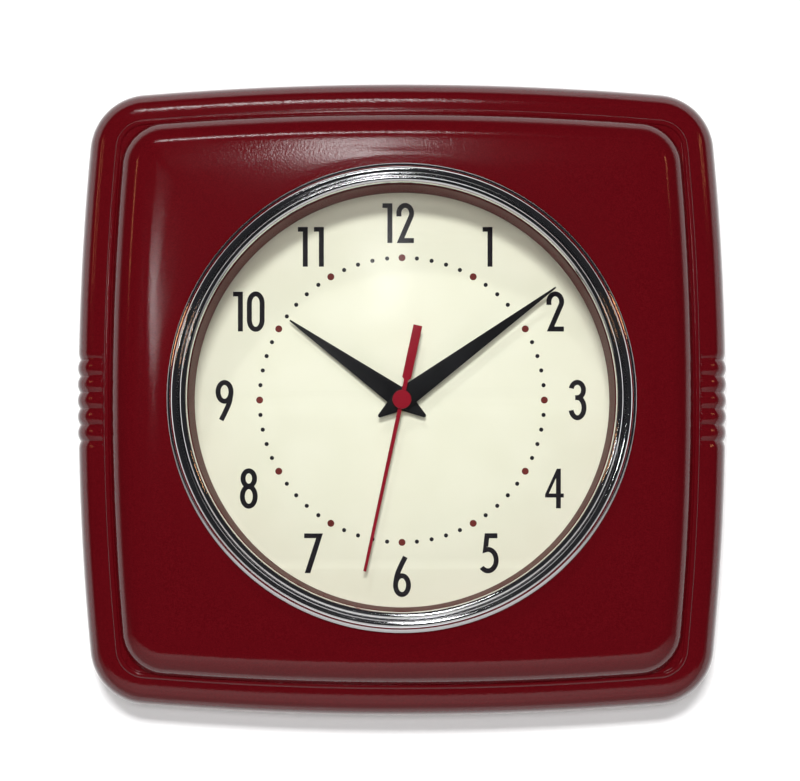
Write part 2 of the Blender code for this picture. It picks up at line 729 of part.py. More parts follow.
def make_ring():
    """The chrome ring: a lip, a broad round, a valley and a bead, over a rebate for the lens."""
    outer = OPENING_RADIUS + RING_OVERLAP
    inner = OPENING_RADIUS - RING_LIP
    base = PANEL_DEPTH + GAP
    rebate_radius = OPENING_RADIUS + LENS_RIM + GAP
    rebate_depth = base + LENS_THICKNESS + 2 * GAP
    span = outer - inner
    shape = [
        (1.0, 0.0),
        (1.0, 0.18),
        (0.90, 0.24),
        (0.86, 0.50),
        (0.74, 0.73),
        (0.60, 0.80),
        (0.38, 0.66),
        (0.28, 0.90),
        (0.17, 1.0),
        (0.06, 0.94),
        (0.0, 0.80),
    ]
    profile = [(inner + span * a, base + RING_HEIGHT * b) for a, b in reversed(shape)]
    profile += [(rebate_radius, base), (rebate_radius, rebate_depth), (inner, rebate_depth)]
    return part(turned("bezel_ring", profile, RING_STEPS), "bezel_ring", CHROME)


def make_lens():
    """A domed window with a flat rim, open behind."""
    rim_rear = PANEL_DEPTH + GAP
    rim_front = rim_rear + LENS_THICKNESS
    rim_radius = OPENING_RADIUS + LENS_RIM
    dome_radius = OPENING_RADIUS - RING_LIP - 2 * GAP
    ball = (dome_radius**2 + LENS_RISE**2) / (2 * LENS_RISE)
    front = []
    for step in range(LENS_STEPS + 1):
        radius = dome_radius * step / LENS_STEPS
        front.append((radius, rim_front + math.sqrt(ball**2 - radius**2) - ball + LENS_RISE))
    rear = [(r, z - LENS_THICKNESS) for r, z in reversed(front)]
    profile = front + [(rim_radius, rim_front), (rim_radius, rim_rear)] + rear
    return part(turned("lens", profile, RING_STEPS), "lens", CLEAR)


def make_dial():
    radius = OPENING_RADIUS + DIAL_OVERLAP
    bore = BUSHING_RADIUS + GAP
    outlines = [circle(radius, RING_STEPS), circle(bore)]
    outlines += [circle(hole_radius(SCREW_RADIUS, 8), 8, *post) for post in dial_post_places()]
    return part(plate("dial_plate", outlines, DIAL_BACK, DIAL_DEPTH), "dial_plate", CREAM)


def make_screw(name, x, y, seat):
    """A screw driven forward from a rear seat: shank, pan head and a cross recess."""
    shank_top = seat + SCREW_LENGTH
    head_low = seat - GAP - SCREW_HEAD_HEIGHT
    profile = [
        (0.0, shank_top),
        (SCREW_RADIUS, shank_top - 2 * SCREW_RADIUS),
        (SCREW_RADIUS, seat - GAP),
        (SCREW_HEAD_RADIUS, seat - GAP),
        (SCREW_HEAD_RADIUS, head_low + SCREW_HEAD_HEIGHT * 0.4),
        (SCREW_HEAD_RADIUS * 0.7, head_low),
        (0.0, head_low),
    ]
    screw = turned(name, profile, SCREW_STEPS, x=x, y=y)
    arm = SCREW_HEAD_RADIUS * 0.55
    half = SCREW_HEAD_RADIUS * 0.14
    deep = head_low + SCREW_HEAD_HEIGHT * 0.5
    for turn in (0.0, 90.0):
        slot = box("slot", (-arm, -half, head_low - OVERSHOOT), (arm, half, deep), x=x, y=y, turn=turn)
        cut(screw, slot)
    return part(screw, name, STEEL)


def make_screws():
    for number, (x, y) in enumerate(dial_post_places(), 1):
        make_screw(f"dial_screw_{number}", x, y, DIAL_BACK)
    for number, (x, y) in enumerate(cover_post_places(), 1):
        make_screw(f"rear_screw_{number}", x, y, SCREW_HEAD_HEIGHT + 2 * GAP)


def make_rear_cover():
    """The panel in the back: screw holes with sunk seats, a window and the hanging keyhole."""
    inset = REAR_TAPER + CASE_WALL + COVER_GAP
    side = MOVEMENT_HALF_WIDTH + MOVEMENT_CLEARANCE
    high = MOVEMENT_TOP + MOVEMENT_CLEARANCE
    low = MOVEMENT_LOW - MOVEMENT_CLEARANCE
    window = [(side, high), (-side, high), (-side, low), (side, low)]
    outlines = [CASE_OUTLINE.ring(inset), window]
    cover = plate("rear_cover", outlines, COVER_DEPTH, COVER_FRONT)
    through = (COVER_DEPTH - OVERSHOOT, COVER_FRONT + OVERSHOOT)
    hang_y = HANG_DROP
    hole_y = hang_y - SLOT_LENGTH
    half_slot = SLOT_WIDTH / 2
    cut(cover, cylinders("slot_top", half_slot, *through, [(0.0, hang_y - half_slot)]))
    cut(cover, cylinders("keyhole", KEYHOLE_RADIUS, *through, [(0.0, hole_y)], steps=24))
    cut(cover, box("slot", (-half_slot, hole_y, through[0]), (half_slot, hang_y - half_slot, through[1])))
    shank = hole_radius(SCREW_RADIUS, SMALL_STEPS)
    cut(cover, cylinders("cover_holes", shank, *through, cover_post_places()))
    sunk = SCREW_HEAD_HEIGHT + 2 * GAP
    head = hole_radius(SCREW_HEAD_RADIUS, SMALL_STEPS)
    cut(cover, cylinders("head_seats", head, through[0], sunk, cover_post_places()))
    return part(cover, "rear_cover", BLACK_PLASTIC)


# Hands


def kite(length):
    """A hand that tapers from the hub to its tip, and more quickly to its narrow tail."""
    nose = HAND_TIP_HALF_WIDTH
    tail = HAND_TAIL_HALF_WIDTH
    return [
        (nose, length),
        (-nose, length),
        (-HAND_HALF_WIDTH, 0.0),
        (-tail, tail - HAND_TAIL),
        (-tail / 2, -HAND_TAIL),
        (tail / 2, -HAND_TAIL),
        (tail, tail - HAND_TAIL),
        (HAND_HALF_WIDTH, 0.0),
    ]


def make_hand(name, length, shaft_radius, depth, angle):
    outlines = [kite(length), circle(hole_radius(shaft_radius, SMALL_STEPS))]
    hand = plate(name, outlines, depth, depth + HAND_THICKNESS, turn=-angle)
    return part(hand, name, BLACK_METAL)


def make_second_hand():
    neck = NECK_HALF_WIDTH
    bar = COUNTERWEIGHT_HALF_WIDTH
    shoulder = NECK_LENGTH + bar - neck
    boss = HUB_RADIUS + 3 * GAP
    right = [
        (NEEDLE_TIP_HALF_WIDTH, SECOND_HAND_LENGTH),
        (NEEDLE_HALF_WIDTH, boss),
        (boss, NEEDLE_HALF_WIDTH),
        (boss, -neck),
        (neck, -boss),
        (neck, -NECK_LENGTH),
        (bar, -shoulder),
        (bar, -COUNTERWEIGHT_LENGTH),
    ]
    outline = right + [(-x, y) for x, y in reversed(right)]
    outlines = [outline, circle(hole_radius(HUB_RADIUS, SMALL_STEPS))]
    top = SECOND_HAND_DEPTH + HAND_THICKNESS
    hand = plate("second_hand", outlines, SECOND_HAND_DEPTH, top, turn=-SECOND_ANGLE)
    return part(hand, "second_hand", RED_METAL)


def make_second_hub():
    """The red button, with a blind bore for the second wheel's arbor."""
    bore = hole_radius(SECOND_ARBOR_RADIUS, SMALL_STEPS)
    low = SECOND_HAND_DEPTH - 2 * GAP
    cap = SECOND_HAND_DEPTH + HAND_THICKNESS + GAP
    top = cap + BUTTON_THICKNESS
    profile = [
        (0.0, top),
        (BUTTON_RADIUS - 0.3 * MM, top),
        (BUTTON_RADIUS, top - 0.3 * MM),
        (BUTTON_RADIUS, cap),
        (HUB_RADIUS, cap),
        (HUB_RADIUS, low),
        (bore, low),
        (bore, cap),
        (0.0, cap),
    ]
    hub = turned("second_hand_hub", profile, SMALL_STEPS)
    return part(hub, "second_hand_hub", RED_METAL)


# Movement box


def make_movement_base():
    """The front half of the box, with a partition over the battery and posts for the plate."""
    side = MOVEMENT_HALF_WIDTH
    inner = BAY_HALF
    low = MOVEMENT_SPLIT + GAP
    room_top = MOVEMENT_TOP - MOVEMENT_WALL
    base = box("movement_base", (-side, MOVEMENT_LOW, low), (side, MOVEMENT_TOP, MOVEMENT_FRONT))
    room = box("room", (-inner, ROOM_LOW, low - OVERSHOOT), (inner, room_top, ROOM_FRONT))
    bay = box("bay", (-inner, BAY_LOW, low - OVERSHOOT), (inner, BAY_TOP, ROOM_FRONT))
    bore = hole_radius(BUSHING_RADIUS, SMALL_STEPS)
    hole = cylinder("hole", bore, ROOM_FRONT - OVERSHOOT, MOVEMENT_FRONT + OVERSHOOT)
    cut(base, room, bay, hole)
    post_top = ROOM_FRONT + MOVEMENT_WALL / 2
    join(base, cylinders("plate_posts", 1.5 * MM, PLATE_LEVEL + GAP, post_top, plate_post_places(), 12))
    pivots = cylinders(
        "front_pivots",
        hole_radius(ARBOR_RADIUS, ARBOR_STEPS),
        ROOM_FRONT - OVERSHOOT,
        ROOM_FRONT + PIVOT_DEPTH,
        [MINUTE_PLACE, SETTING_PLACE],
        ARBOR_STEPS,
    )
    cut(base, pivots, contact_slots())
    return part(base, "movement_base", BLACK_PLASTIC)


def make_movement_cover():
    """The rear half of the box, open behind the battery."""
    side = MOVEMENT_HALF_WIDTH
    inner = BAY_HALF
    room_top = MOVEMENT_TOP - MOVEMENT_WALL
    low_corner = (-side, MOVEMENT_LOW, MOVEMENT_REAR)
    cover = box("movement_cover", low_corner, (side, MOVEMENT_TOP, MOVEMENT_SPLIT))
    high = MOVEMENT_SPLIT + OVERSHOOT
    room = box("room", (-inner, ROOM_LOW, ROOM_REAR), (inner, room_top, high))
    bay = box("bay", (-inner, BAY_LOW, MOVEMENT_REAR - OVERSHOOT), (inner, BAY_TOP, high))
    pivots = cylinders(
        "rear_pivots",
        hole_radius(ARBOR_RADIUS, ARBOR_STEPS),
        ROOM_REAR - PIVOT_DEPTH,
        ROOM_REAR + OVERSHOOT,
        [(0.0, 0.0), THIRD_PLACE, INTERMEDIATE_PLACE, ROTOR_PLACE],
        ARBOR_STEPS,
    )
    knob_hole = cylinder(
        "knob_hole",
        hole_radius(KNOB_SHAFT_RADIUS, SMALL_STEPS),
        MOVEMENT_REAR - OVERSHOOT,
        ROOM_REAR + OVERSHOOT,
        x=SETTING_PLACE[0],
        y=SETTING_PLACE[1],
    )
    cut(cover, room, bay, pivots, knob_hole, contact_slots())
    return part(cover, "movement_cover", BLACK_PLASTIC)


def plate_edges():
    """Left, right, low and high edges of the train plate."""
    left = SETTING_PLACE[0] - 7.0 * MM
    right = ROTOR_PLACE[0] + 5.0 * MM
    high = COIL_HEIGHT - BOBBIN_RADIUS - 4 * GAP
    return left, right, ROOM_LOW + 2 * GAP, high


def plate_post_places():
    left, right, low, high = plate_edges()
    inset = 2.0 * MM
    return [(x, y) for x in (left + inset, right - inset) for y in (low + inset, high - inset)]


def make_train_plate():
    left, right, low, high = plate_edges()
    corners = [(right, high), (left, high), (left, low), (right, low)]
    small = hole_radius(ARBOR_RADIUS, ARBOR_STEPS)
    holes = [circle(small, ARBOR_STEPS, *pivot) for pivot in (THIRD_PLACE, ROTOR_PLACE)]
    holes.append(circle(hole_radius(CANNON_RADIUS, SMALL_STEPS)))
    holes.append(circle(hole_radius(KNOB_SHAFT_RADIUS, SMALL_STEPS), SMALL_STEPS, *SETTING_PLACE))
    holes.append(circle(small, ARBOR_STEPS, *MINUTE_PLACE))
    made = plate("train_plate", [corners, *holes], PLATE_LEVEL - WHEEL_THICKNESS, PLATE_LEVEL)
    return part(made, "train_plate", WHITE_PLASTIC)


def make_bushing():
    """The threaded tube that the hands' shafts come through, with a flange inside the box."""
    tip = BUSHING_TIP
    flange_front = ROOM_FRONT - GAP
    profile = [
        (BUSHING_RADIUS, tip),
        (BUSHING_RADIUS, flange_front),
        (BUSHING_FLANGE_RADIUS, flange_front),
        (BUSHING_FLANGE_RADIUS, BUSHING_FLANGE_REAR),
        (BUSHING_BORE_RADIUS, BUSHING_FLANGE_REAR),
        (BUSHING_BORE_RADIUS, tip),
    ]
    return part(turned("threaded_bushing", profile, SMALL_STEPS), "threaded_bushing", BRASS)


def make_washers():
    bore = hole_radius(BUSHING_RADIUS, SMALL_STEPS)
    rubber_low = MOVEMENT_FRONT + GAP
    rubber_rings = [circle(RUBBER_RADIUS, 24), circle(bore)]
    rubber = plate("rubber_washer", rubber_rings, rubber_low, rubber_low + RUBBER_THICKNESS)
    part(rubber, "rubber_washer", RUBBER)
    washer_low = DIAL_DEPTH + GAP
    washer_rings = [circle(WASHER_RADIUS), circle(bore)]
    washer = plate("clamp_washer", washer_rings, washer_low, washer_low + WASHER_THICKNESS)
    part(washer, "clamp_washer", BRASS)
    nut_low = washer_low + WASHER_THICKNESS + GAP
    nut = plate("hex_nut", [circle(NUT_RADIUS, 6), circle(bore)], nut_low, nut_low + NUT_THICKNESS)
    part(nut, "hex_nut", BRASS)


# Train


def make_wheel(name, wheel, pinion, arbor, material):
    """A wheel joined to its pinion and its arbor."""
    join(wheel, pinion, arbor)
    return part(wheel, name, material)


def at(place_xy):
    return {"x": place_xy[0], "y": place_xy[1]}


def make_rotor():
    """The magnet ring and the pinion whose arbor it sits on."""
    here = at(ROTOR_PLACE)
    magnet_middle = THIRD_LEVEL - STATOR_THICKNESS / 2
    low = magnet_middle - MAGNET_THICKNESS / 2
    rings = [circle(MAGNET_RADIUS), circle(hole_radius(ARBOR_RADIUS, ARBOR_STEPS), ARBOR_STEPS)]
    part(plate("rotor_magnet", rings, low, low + MAGNET_THICKNESS, **here), "rotor_magnet", MAGNET_GREY)
    pinion = wheel_pinion("rotor_pinion", INTERMEDIATE_LEVEL, PINION_LEAVES, FAST_MODULE, here)
    join(pinion, cylinder("arbor", ARBOR_RADIUS, ARBOR_REAR, PLATE_LEVEL - GAP, ARBOR_STEPS, **here))
    part(pinion, "rotor_pinion", WHITE_PLASTIC)


def make_intermediate_wheel():
    here = at(INTERMEDIATE_PLACE)
    phase = meshing_phase(PINION_LEAVES, 0.0, INTERMEDIATE_TEETH, ROTOR_DIRECTION + 180.0)
    level = INTERMEDIATE_LEVEL
    wheel = gear("wheel", INTERMEDIATE_TEETH, FAST_MODULE, level, WHEEL_THICKNESS, phase, **here)
    drop = LEVEL_GAP
    pinion = wheel_pinion("leaves", SECOND_LEVEL, PINION_LEAVES, FAST_MODULE, here, drop)
    arbor = cylinder("arbor", ARBOR_RADIUS, ARBOR_REAR, THIRD_LEVEL, ARBOR_STEPS, **here)
    return make_wheel("intermediate_wheel", wheel, pinion, arbor, WHITE_PLASTIC)


def make_intermediate_bridge():
    """A strip behind the centre wheel that holds the intermediate wheel's front pivot, on a post."""
    x, y = INTERMEDIATE_PLACE
    left = x - BRIDGE_MARGIN
    right = STATOR_LEFT - 2 * GAP
    low = ROOM_LOW + GAP
    corners = [(right, y + BRIDGE_MARGIN), (left, y + BRIDGE_MARGIN), (left, low), (right, low)]
    pivot = circle(hole_radius(ARBOR_RADIUS, ARBOR_STEPS), ARBOR_STEPS, x, y)
    rear = THIRD_LEVEL - WHEEL_THICKNESS
    bridge = plate("intermediate_bridge", [corners, pivot], rear, THIRD_LEVEL)
    post_x = (left + right) / 2
    post_y = low + BRIDGE_POST_RADIUS
    post_front = PLATE_LEVEL - WHEEL_THICKNESS - GAP
    middle = rear + WHEEL_THICKNESS / 2
    join(bridge, cylinder("post", BRIDGE_POST_RADIUS, middle, post_front, 10, x=post_x, y=post_y))
    return part(bridge, "intermediate_bridge", WHITE_PLASTIC)


def make_second_wheel():
    """Its arbor runs forward through the cannon pinion to carry the second hand."""
    phase = meshing_phase(PINION_LEAVES, 0.0, SECOND_TEETH, INTERMEDIATE_DIRECTION + 180.0)
    wheel = gear("wheel", SECOND_TEETH, FAST_MODULE, SECOND_LEVEL, WHEEL_THICKNESS, phase)
    pinion = wheel_pinion("leaves", THIRD_LEVEL, PINION_LEAVES, THIRD_MODULE, {}, LEVEL_GAP)
    tip = SECOND_HAND_DEPTH + HAND_THICKNESS
    arbor = cylinder("arbor", SECOND_ARBOR_RADIUS, ARBOR_REAR, tip, ARBOR_STEPS)
    return make_wheel("second_wheel", wheel, pinion, arbor, STEEL)


def make_third_wheel():
    here = at(THIRD_PLACE)
    phase = meshing_phase(PINION_LEAVES, 0.0, THIRD_TEETH, THIRD_DIRECTION)
    wheel = gear("wheel", THIRD_TEETH, THIRD_MODULE, THIRD_LEVEL, WHEEL_THICKNESS, phase, **here)
    drop = LEVEL_GAP
    pinion = wheel_pinion("leaves", CENTRE_LEVEL, PINION_LEAVES, CENTRE_MODULE, here, drop)
    arbor = cylinder("arbor", ARBOR_RADIUS, ARBOR_REAR, PLATE_LEVEL - GAP, ARBOR_STEPS, **here)
    return make_wheel("third_wheel", wheel, pinion, arbor, WHITE_PLASTIC)


def make_centre_wheel():
    """It grips the cannon pinion's tube, as a clutch that lets the hands be set."""
    phase = meshing_phase(PINION_LEAVES, 0.0, CENTRE_TEETH, THIRD_DIRECTION + 180.0)
    outlines = [
        gear_outline(CENTRE_TEETH, CENTRE_MODULE, phase),
        circle(hole_radius(CANNON_RADIUS, SMALL_STEPS)),
    ]
    wheel = plate("centre_wheel", outlines, CENTRE_LEVEL - WHEEL_THICKNESS, CENTRE_LEVEL)
    return part(wheel, "centre_wheel", BRASS)


def make_cannon_pinion():
    rear = CENTRE_LEVEL - WHEEL_THICKNESS - GAP / 2
    tip = MINUTE_HAND_DEPTH + HAND_THICKNESS + GAP
    pinion = wheel_pinion("cannon_pinion", MINUTE_LEVEL, CANNON_LEAVES, MINUTE_MODULE, {})
    join(pinion, cylinder("tube", CANNON_RADIUS, rear, tip))
    bore = cylinder("bore", CANNON_BORE_RADIUS, rear - OVERSHOOT, tip + OVERSHOOT)
    cut(pinion, bore)
    return part(pinion, "cannon_pinion", BRASS)


def make_minute_wheel():
    here = at(MINUTE_PLACE)
    phase = minute_wheel_phase()
    wheel = gear("wheel", MINUTE_TEETH, MINUTE_MODULE, MINUTE_LEVEL, WHEEL_THICKNESS, phase, **here)
    pinion = wheel_pinion("leaves", HOUR_LEVEL, MINUTE_LEAVES, HOUR_MODULE, here, LEVEL_GAP)
    front = ROOM_FRONT + PIVOT_DEPTH - GAP
    arbor = cylinder("arbor", ARBOR_RADIUS, PLATE_LEVEL - WHEEL_THICKNESS, front, ARBOR_STEPS, **here)
    return make_wheel("minute_wheel", wheel, pinion, arbor, WHITE_PLASTIC)


def minute_wheel_phase():
    return meshing_phase(CANNON_LEAVES, 0.0, MINUTE_TEETH, MINUTE_DIRECTION)


def make_hour_wheel():
    """Its pipe carries the hour hand."""
    phase = meshing_phase(MINUTE_LEAVES, 0.0, HOUR_TEETH, MINUTE_DIRECTION + 180.0)
    wheel = gear("hour_wheel", HOUR_TEETH, HOUR_MODULE, HOUR_LEVEL, WHEEL_THICKNESS, phase)
    low = HOUR_LEVEL - WHEEL_THICKNESS
    tip = HOUR_HAND_DEPTH + HAND_THICKNESS + GAP
    join(wheel, cylinder("pipe", HOUR_RADIUS, low, tip))
    bore = cylinder("bore", HOUR_BORE_RADIUS, low - OVERSHOOT, tip + OVERSHOOT)
    cut(wheel, bore)
    return part(wheel, "hour_wheel", WHITE_PLASTIC)


def make_setting_knob():
    """The knob behind the box, its shaft, and the pinion that turns the minute wheel."""
    here = at(SETTING_PLACE)
    phase = meshing_phase(MINUTE_TEETH, minute_wheel_phase(), SETTING_LEAVES, SETTING_DIRECTION)
    leaves = gear("setting_knob", SETTING_LEAVES, MINUTE_MODULE, MINUTE_LEVEL, WHEEL_THICKNESS, phase, **here)
    knob_high = MOVEMENT_REAR - GAP
    knob_low = knob_high - KNOB_THICKNESS
    knob = cylinder("knob", KNOB_RADIUS, knob_low, knob_high, SMALL_STEPS, **here)
    shaft = cylinder("shaft", KNOB_SHAFT_RADIUS, knob_low + GAP, MINUTE_LEVEL - GAP, **here)
    front = ROOM_FRONT + PIVOT_DEPTH - GAP
    pivot = cylinder("pivot", ARBOR_RADIUS, MINUTE_LEVEL - 2 * GAP, front, ARBOR_STEPS, **here)
    join(leaves, shaft, pivot, knob)
    grip_radius = 0.55 * MM
    grips = [polar(45.0 * i, KNOB_RADIUS, SETTING_PLACE) for i in range(8)]
    cut(leaves, cylinders("grips", grip_radius, knob_low - OVERSHOOT, knob_high + GAP / 2, grips, 6))
    return part(leaves, "setting_knob", WHITE_PLASTIC)


# Motor, board and battery


def make_stator():
    """A flat yoke round the magnet, with two legs up to the coil's core."""
    left, right = STATOR_LEFT, STATOR_RIGHT
    low = ROTOR_PLACE[1] - STATOR_HALF_HEIGHT
    shoulder = ROTOR_PLACE[1] + STATOR_HALF_HEIGHT
    high = COIL_HEIGHT + CORE_HALF_WIDTH
    outline = [
        (left, low),
        (right, low),
        (right, high),
        (right - STATOR_LEG, high),
        (right - STATOR_LEG, shoulder),
        (left + STATOR_LEG, shoulder),
        (left + STATOR_LEG, high),
        (left, high),
    ]
    gap_circle = circle(MAGNET_RADIUS + ROTOR_CLEARANCE, SMALL_STEPS, *ROTOR_PLACE)
    stator = plate("stator", [outline, gap_circle], THIRD_LEVEL - STATOR_THICKNESS, THIRD_LEVEL)
    part(stator, "stator", STEEL)


def core_depths():
    """The coil core's rear and front faces, just behind the stator."""
    front = THIRD_LEVEL - STATOR_THICKNESS - GAP
    return front - STATOR_THICKNESS, front


def make_coil():
    """A core strip across the legs, a bobbin on it and the winding on the bobbin."""
    rear, front = core_depths()
    middle = (rear + front) / 2
    core_low = COIL_HEIGHT - CORE_HALF_WIDTH
    core_high = COIL_HEIGHT + CORE_HALF_WIDTH
    core = box("coil_core", (STATOR_LEFT, core_low, rear), (STATOR_RIGHT, core_high, front))
    part(core, "coil_core", STEEL)
    start = STATOR_LEFT + STATOR_LEG + 2 * GAP
    end = STATOR_RIGHT - STATOR_LEG - 2 * GAP
    profile = [
        (BOBBIN_RADIUS, end - start),
        (BOBBIN_RADIUS, end - start - BOBBIN_FLANGE),
        (BOBBIN_TUBE_RADIUS, end - start - BOBBIN_FLANGE),
        (BOBBIN_TUBE_RADIUS, BOBBIN_FLANGE),
        (BOBBIN_RADIUS, BOBBIN_FLANGE),
        (BOBBIN_RADIUS, 0.0),
        (0.0, 0.0),
    ]
    bobbin = turned("coil_bobbin", [(0.0, end - start), *profile], 20, x=start, y=COIL_HEIGHT, z=middle)
    bobbin.rotation_euler = (0.0, math.pi / 2, 0.0)
    slot_low = (start - OVERSHOOT, core_low - GAP, rear - GAP)
    slot_high = (end + OVERSHOOT, core_high + GAP, front + GAP)
    cut(bobbin, box("core_slot", slot_low, slot_high))
    part(bobbin, "coil_bobbin", WHITE_PLASTIC)
    winding_start = BOBBIN_FLANGE + GAP
    winding_end = end - start - BOBBIN_FLANGE - GAP
    inner = BOBBIN_TUBE_RADIUS + GAP
    layers = [
        (COIL_RADIUS - 0.2 * MM, winding_end),
        (COIL_RADIUS, winding_end - GAP),
        (COIL_RADIUS, winding_start + GAP),
        (COIL_RADIUS - 0.2 * MM, winding_start),
        (inner, winding_start),
        (inner, winding_end),
    ]
    winding = turned("coil_winding", layers, 20, x=start, y=COIL_HEIGHT, z=middle)
    winding.rotation_euler = (0.0, math.pi / 2, 0.0)
    part(winding, "coil_winding", COPPER)


def make_board():
    front = BOARD_LEVEL
    rear = front - BOARD_THICKNESS
    corners = [
        (BOARD_RIGHT, BOARD_HIGH),
        (BOARD_LEFT, BOARD_HIGH),
        (BOARD_LEFT, BOARD_LOW),
        (BOARD_RIGHT, BOARD_LOW),
    ]
    holes = [circle(1.2 * MM, 12, x, BOARD_HIGH - 3.0 * MM) for x in (BOARD_LEFT + 3.0 * MM, -2.0 * MM)]
    part(plate("circuit_board", [corners, *holes], rear, front), "circuit_board", BOARD_GREEN)
    profile = [
        (0.0, front + GAP + CHIP_HEIGHT),
        (CHIP_RADIUS * 0.6, front + GAP + CHIP_HEIGHT * 0.8),
        (CHIP_RADIUS, front + GAP),
        (0.0, front + GAP),
    ]
    chip = turned("driver_chip", profile, 20, x=-10.0 * MM, y=19.0 * MM)
    part(chip, "driver_chip", BLACK_PLASTIC)
    crystal = cylinder("quartz_crystal", CRYSTAL_RADIUS, 0.0, CRYSTAL_LENGTH, 14)
    crystal.location = (-22.0 * MM, 13.0 * MM, front + GAP + CRYSTAL_RADIUS)
    crystal.rotation_euler = (-math.pi / 2, 0.0, 0.0)
    part(crystal, "quartz_crystal", STEEL)


def battery_span():
    """Where the battery's can starts and ends along x, between its two contacts."""
    end = BAY_HALF - GAP - CONTACT_THICKNESS - GAP - BATTERY_NUB_LENGTH
    return end - BATTERY_LENGTH, end


def make_battery():
    start, end = battery_span()
    length = end - start
    profile = [
        (0.0, length + BATTERY_NUB_LENGTH),
        (BATTERY_NUB_RADIUS, length + BATTERY_NUB_LENGTH),
        (BATTERY_NUB_RADIUS, length),
        (BATTERY_RADIUS - 0.6 * MM, length),
        (BATTERY_RADIUS, length - 0.6 * MM),
        (BATTERY_RADIUS, 0.6 * MM),
        (BATTERY_RADIUS - 0.6 * MM, 0.0),
        (0.0, 0.0),
    ]
    battery = turned("battery", profile, 24, x=start, y=BATTERY_Y, z=BATTERY_DEPTH)
    battery.rotation_euler = (0.0, math.pi / 2, 0.0)
    return part(battery, "battery", BATTERY_SKIN)


def contact_slots():
    """Where the contacts' tails pass the partition, at both ends of the bay."""
    work = bmesh.new()
    inner = BAY_HALF
    half = CONTACT_WIDTH / 4 + GAP
    deep = CONTACT_THICKNESS + 2 * GAP
    for side in (-1, 1):
        near, far = sorted((side * (inner - deep), side * (inner - GAP / 10)))
        low = (near, BAY_TOP - OVERSHOOT, BATTERY_DEPTH - half)
        high = (far, ROOM_LOW + OVERSHOOT, BATTERY_DEPTH + half)
        add_box(work, low, high)
    return object_of(work, "contact_slots")


def contact_outline():
    """A square plate with a narrower tail, in the plane of y and depth."""
    half = CONTACT_WIDTH / 2
    tail = CONTACT_WIDTH / 4
    top = ROOM_LOW + 2.0 * MM
    return [
        (BATTERY_Y - half, -half),
        (BATTERY_Y + half, -half),
        (BATTERY_Y + half, -tail),
        (top, -tail),
        (top, tail),
        (BATTERY_Y + half, tail),
        (BATTERY_Y + half, half),
        (BATTERY_Y - half, half),
    ]


def make_contact_plate(name, x_low):
    """The contact's sheet, standing across the end of the bay."""
    sheet = plate(name, [contact_outline()], 0.0, CONTACT_THICKNESS)
    turn = Matrix(((0, 0, 1, 0), (1, 0, 0, 0), (0, 1, 0, 0), (0, 0, 0, 1)))
    sheet.data.transform(turn)
    sheet.location = (x_low, 0.0, BATTERY_DEPTH)
    return sheet


def make_contacts():
    positive = make_contact_plate("positive_contact", BAY_HALF - GAP - CONTACT_THICKNESS)
    part(positive, "positive_contact", STEEL)
    left = GAP - BAY_HALF
    negative = make_contact_plate("negative_contact", left)
    start, _ = battery_span()
    join(negative, spring(left + CONTACT_THICKNESS / 2, start - GAP))
    part(negative, "negative_contact", STEEL)


def spring(low, high):
    """A coil that narrows from the contact's sheet to the battery."""
    curve = bpy.data.curves.new("spring", "CURVE")
    curve.dimensions = "3D"
    curve.bevel_depth = SPRING_WIRE_RADIUS
    curve.bevel_resolution = 1
    curve.use_fill_caps = True
    per_turn = 10
    count = SPRING_TURNS * per_turn + 1
    spline = curve.splines.new("POLY")
    spline.points.add(count - 1)
    travel = high - low - SPRING_WIRE_RADIUS
    for step, slot in enumerate(spline.points):
        share = step / (count - 1)
        radius = SPRING_RADIUS * (1.0 - 0.35 * share)
        angle = 2 * math.pi * step / per_turn
        y = BATTERY_Y + radius * math.cos(angle)
        z = BATTERY_DEPTH + radius * math.sin(angle)
        slot.co = (low + travel * share, y, z, 1.0)
    return mesh_of_curve(bpy.data.objects.new("spring", curve), "spring")


def main():
    make_case()
    make_ring()
    make_lens()
    make_dial()
    make_screws()
    make_rear_cover()
    make_hand("hour_hand", HOUR_HAND_LENGTH, HOUR_RADIUS, HOUR_HAND_DEPTH, HOUR_ANGLE)
    make_hand("minute_hand", MINUTE_HAND_LENGTH, CANNON_RADIUS, MINUTE_HAND_DEPTH, MINUTE_ANGLE)
    make_second_hand()
    make_second_hub()
    make_movement_base()
    make_movement_cover()
    make_train_plate()
    make_bushing()
    make_washers()
    make_rotor()
    make_intermediate_wheel()
    make_intermediate_bridge()
    make_second_wheel()
    make_third_wheel()
    make_centre_wheel()
    make_cannon_pinion()
    make_minute_wheel()
    make_hour_wheel()
    make_setting_knob()
    make_stator()
    make_coil()
    make_board()
    make_battery()
    make_contacts()


main()
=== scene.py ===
"""The finished look of the wall clock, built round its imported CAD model.

New pieces are modelled in face coordinates, as the CAD model is: x to the right, y up and z forward
from the wall, with the axis of the hands at x = 0, y = 0. FACE turns them into the world frame.
"""

import json
import math

import bmesh
import bpy
from mathutils import Matrix, Vector


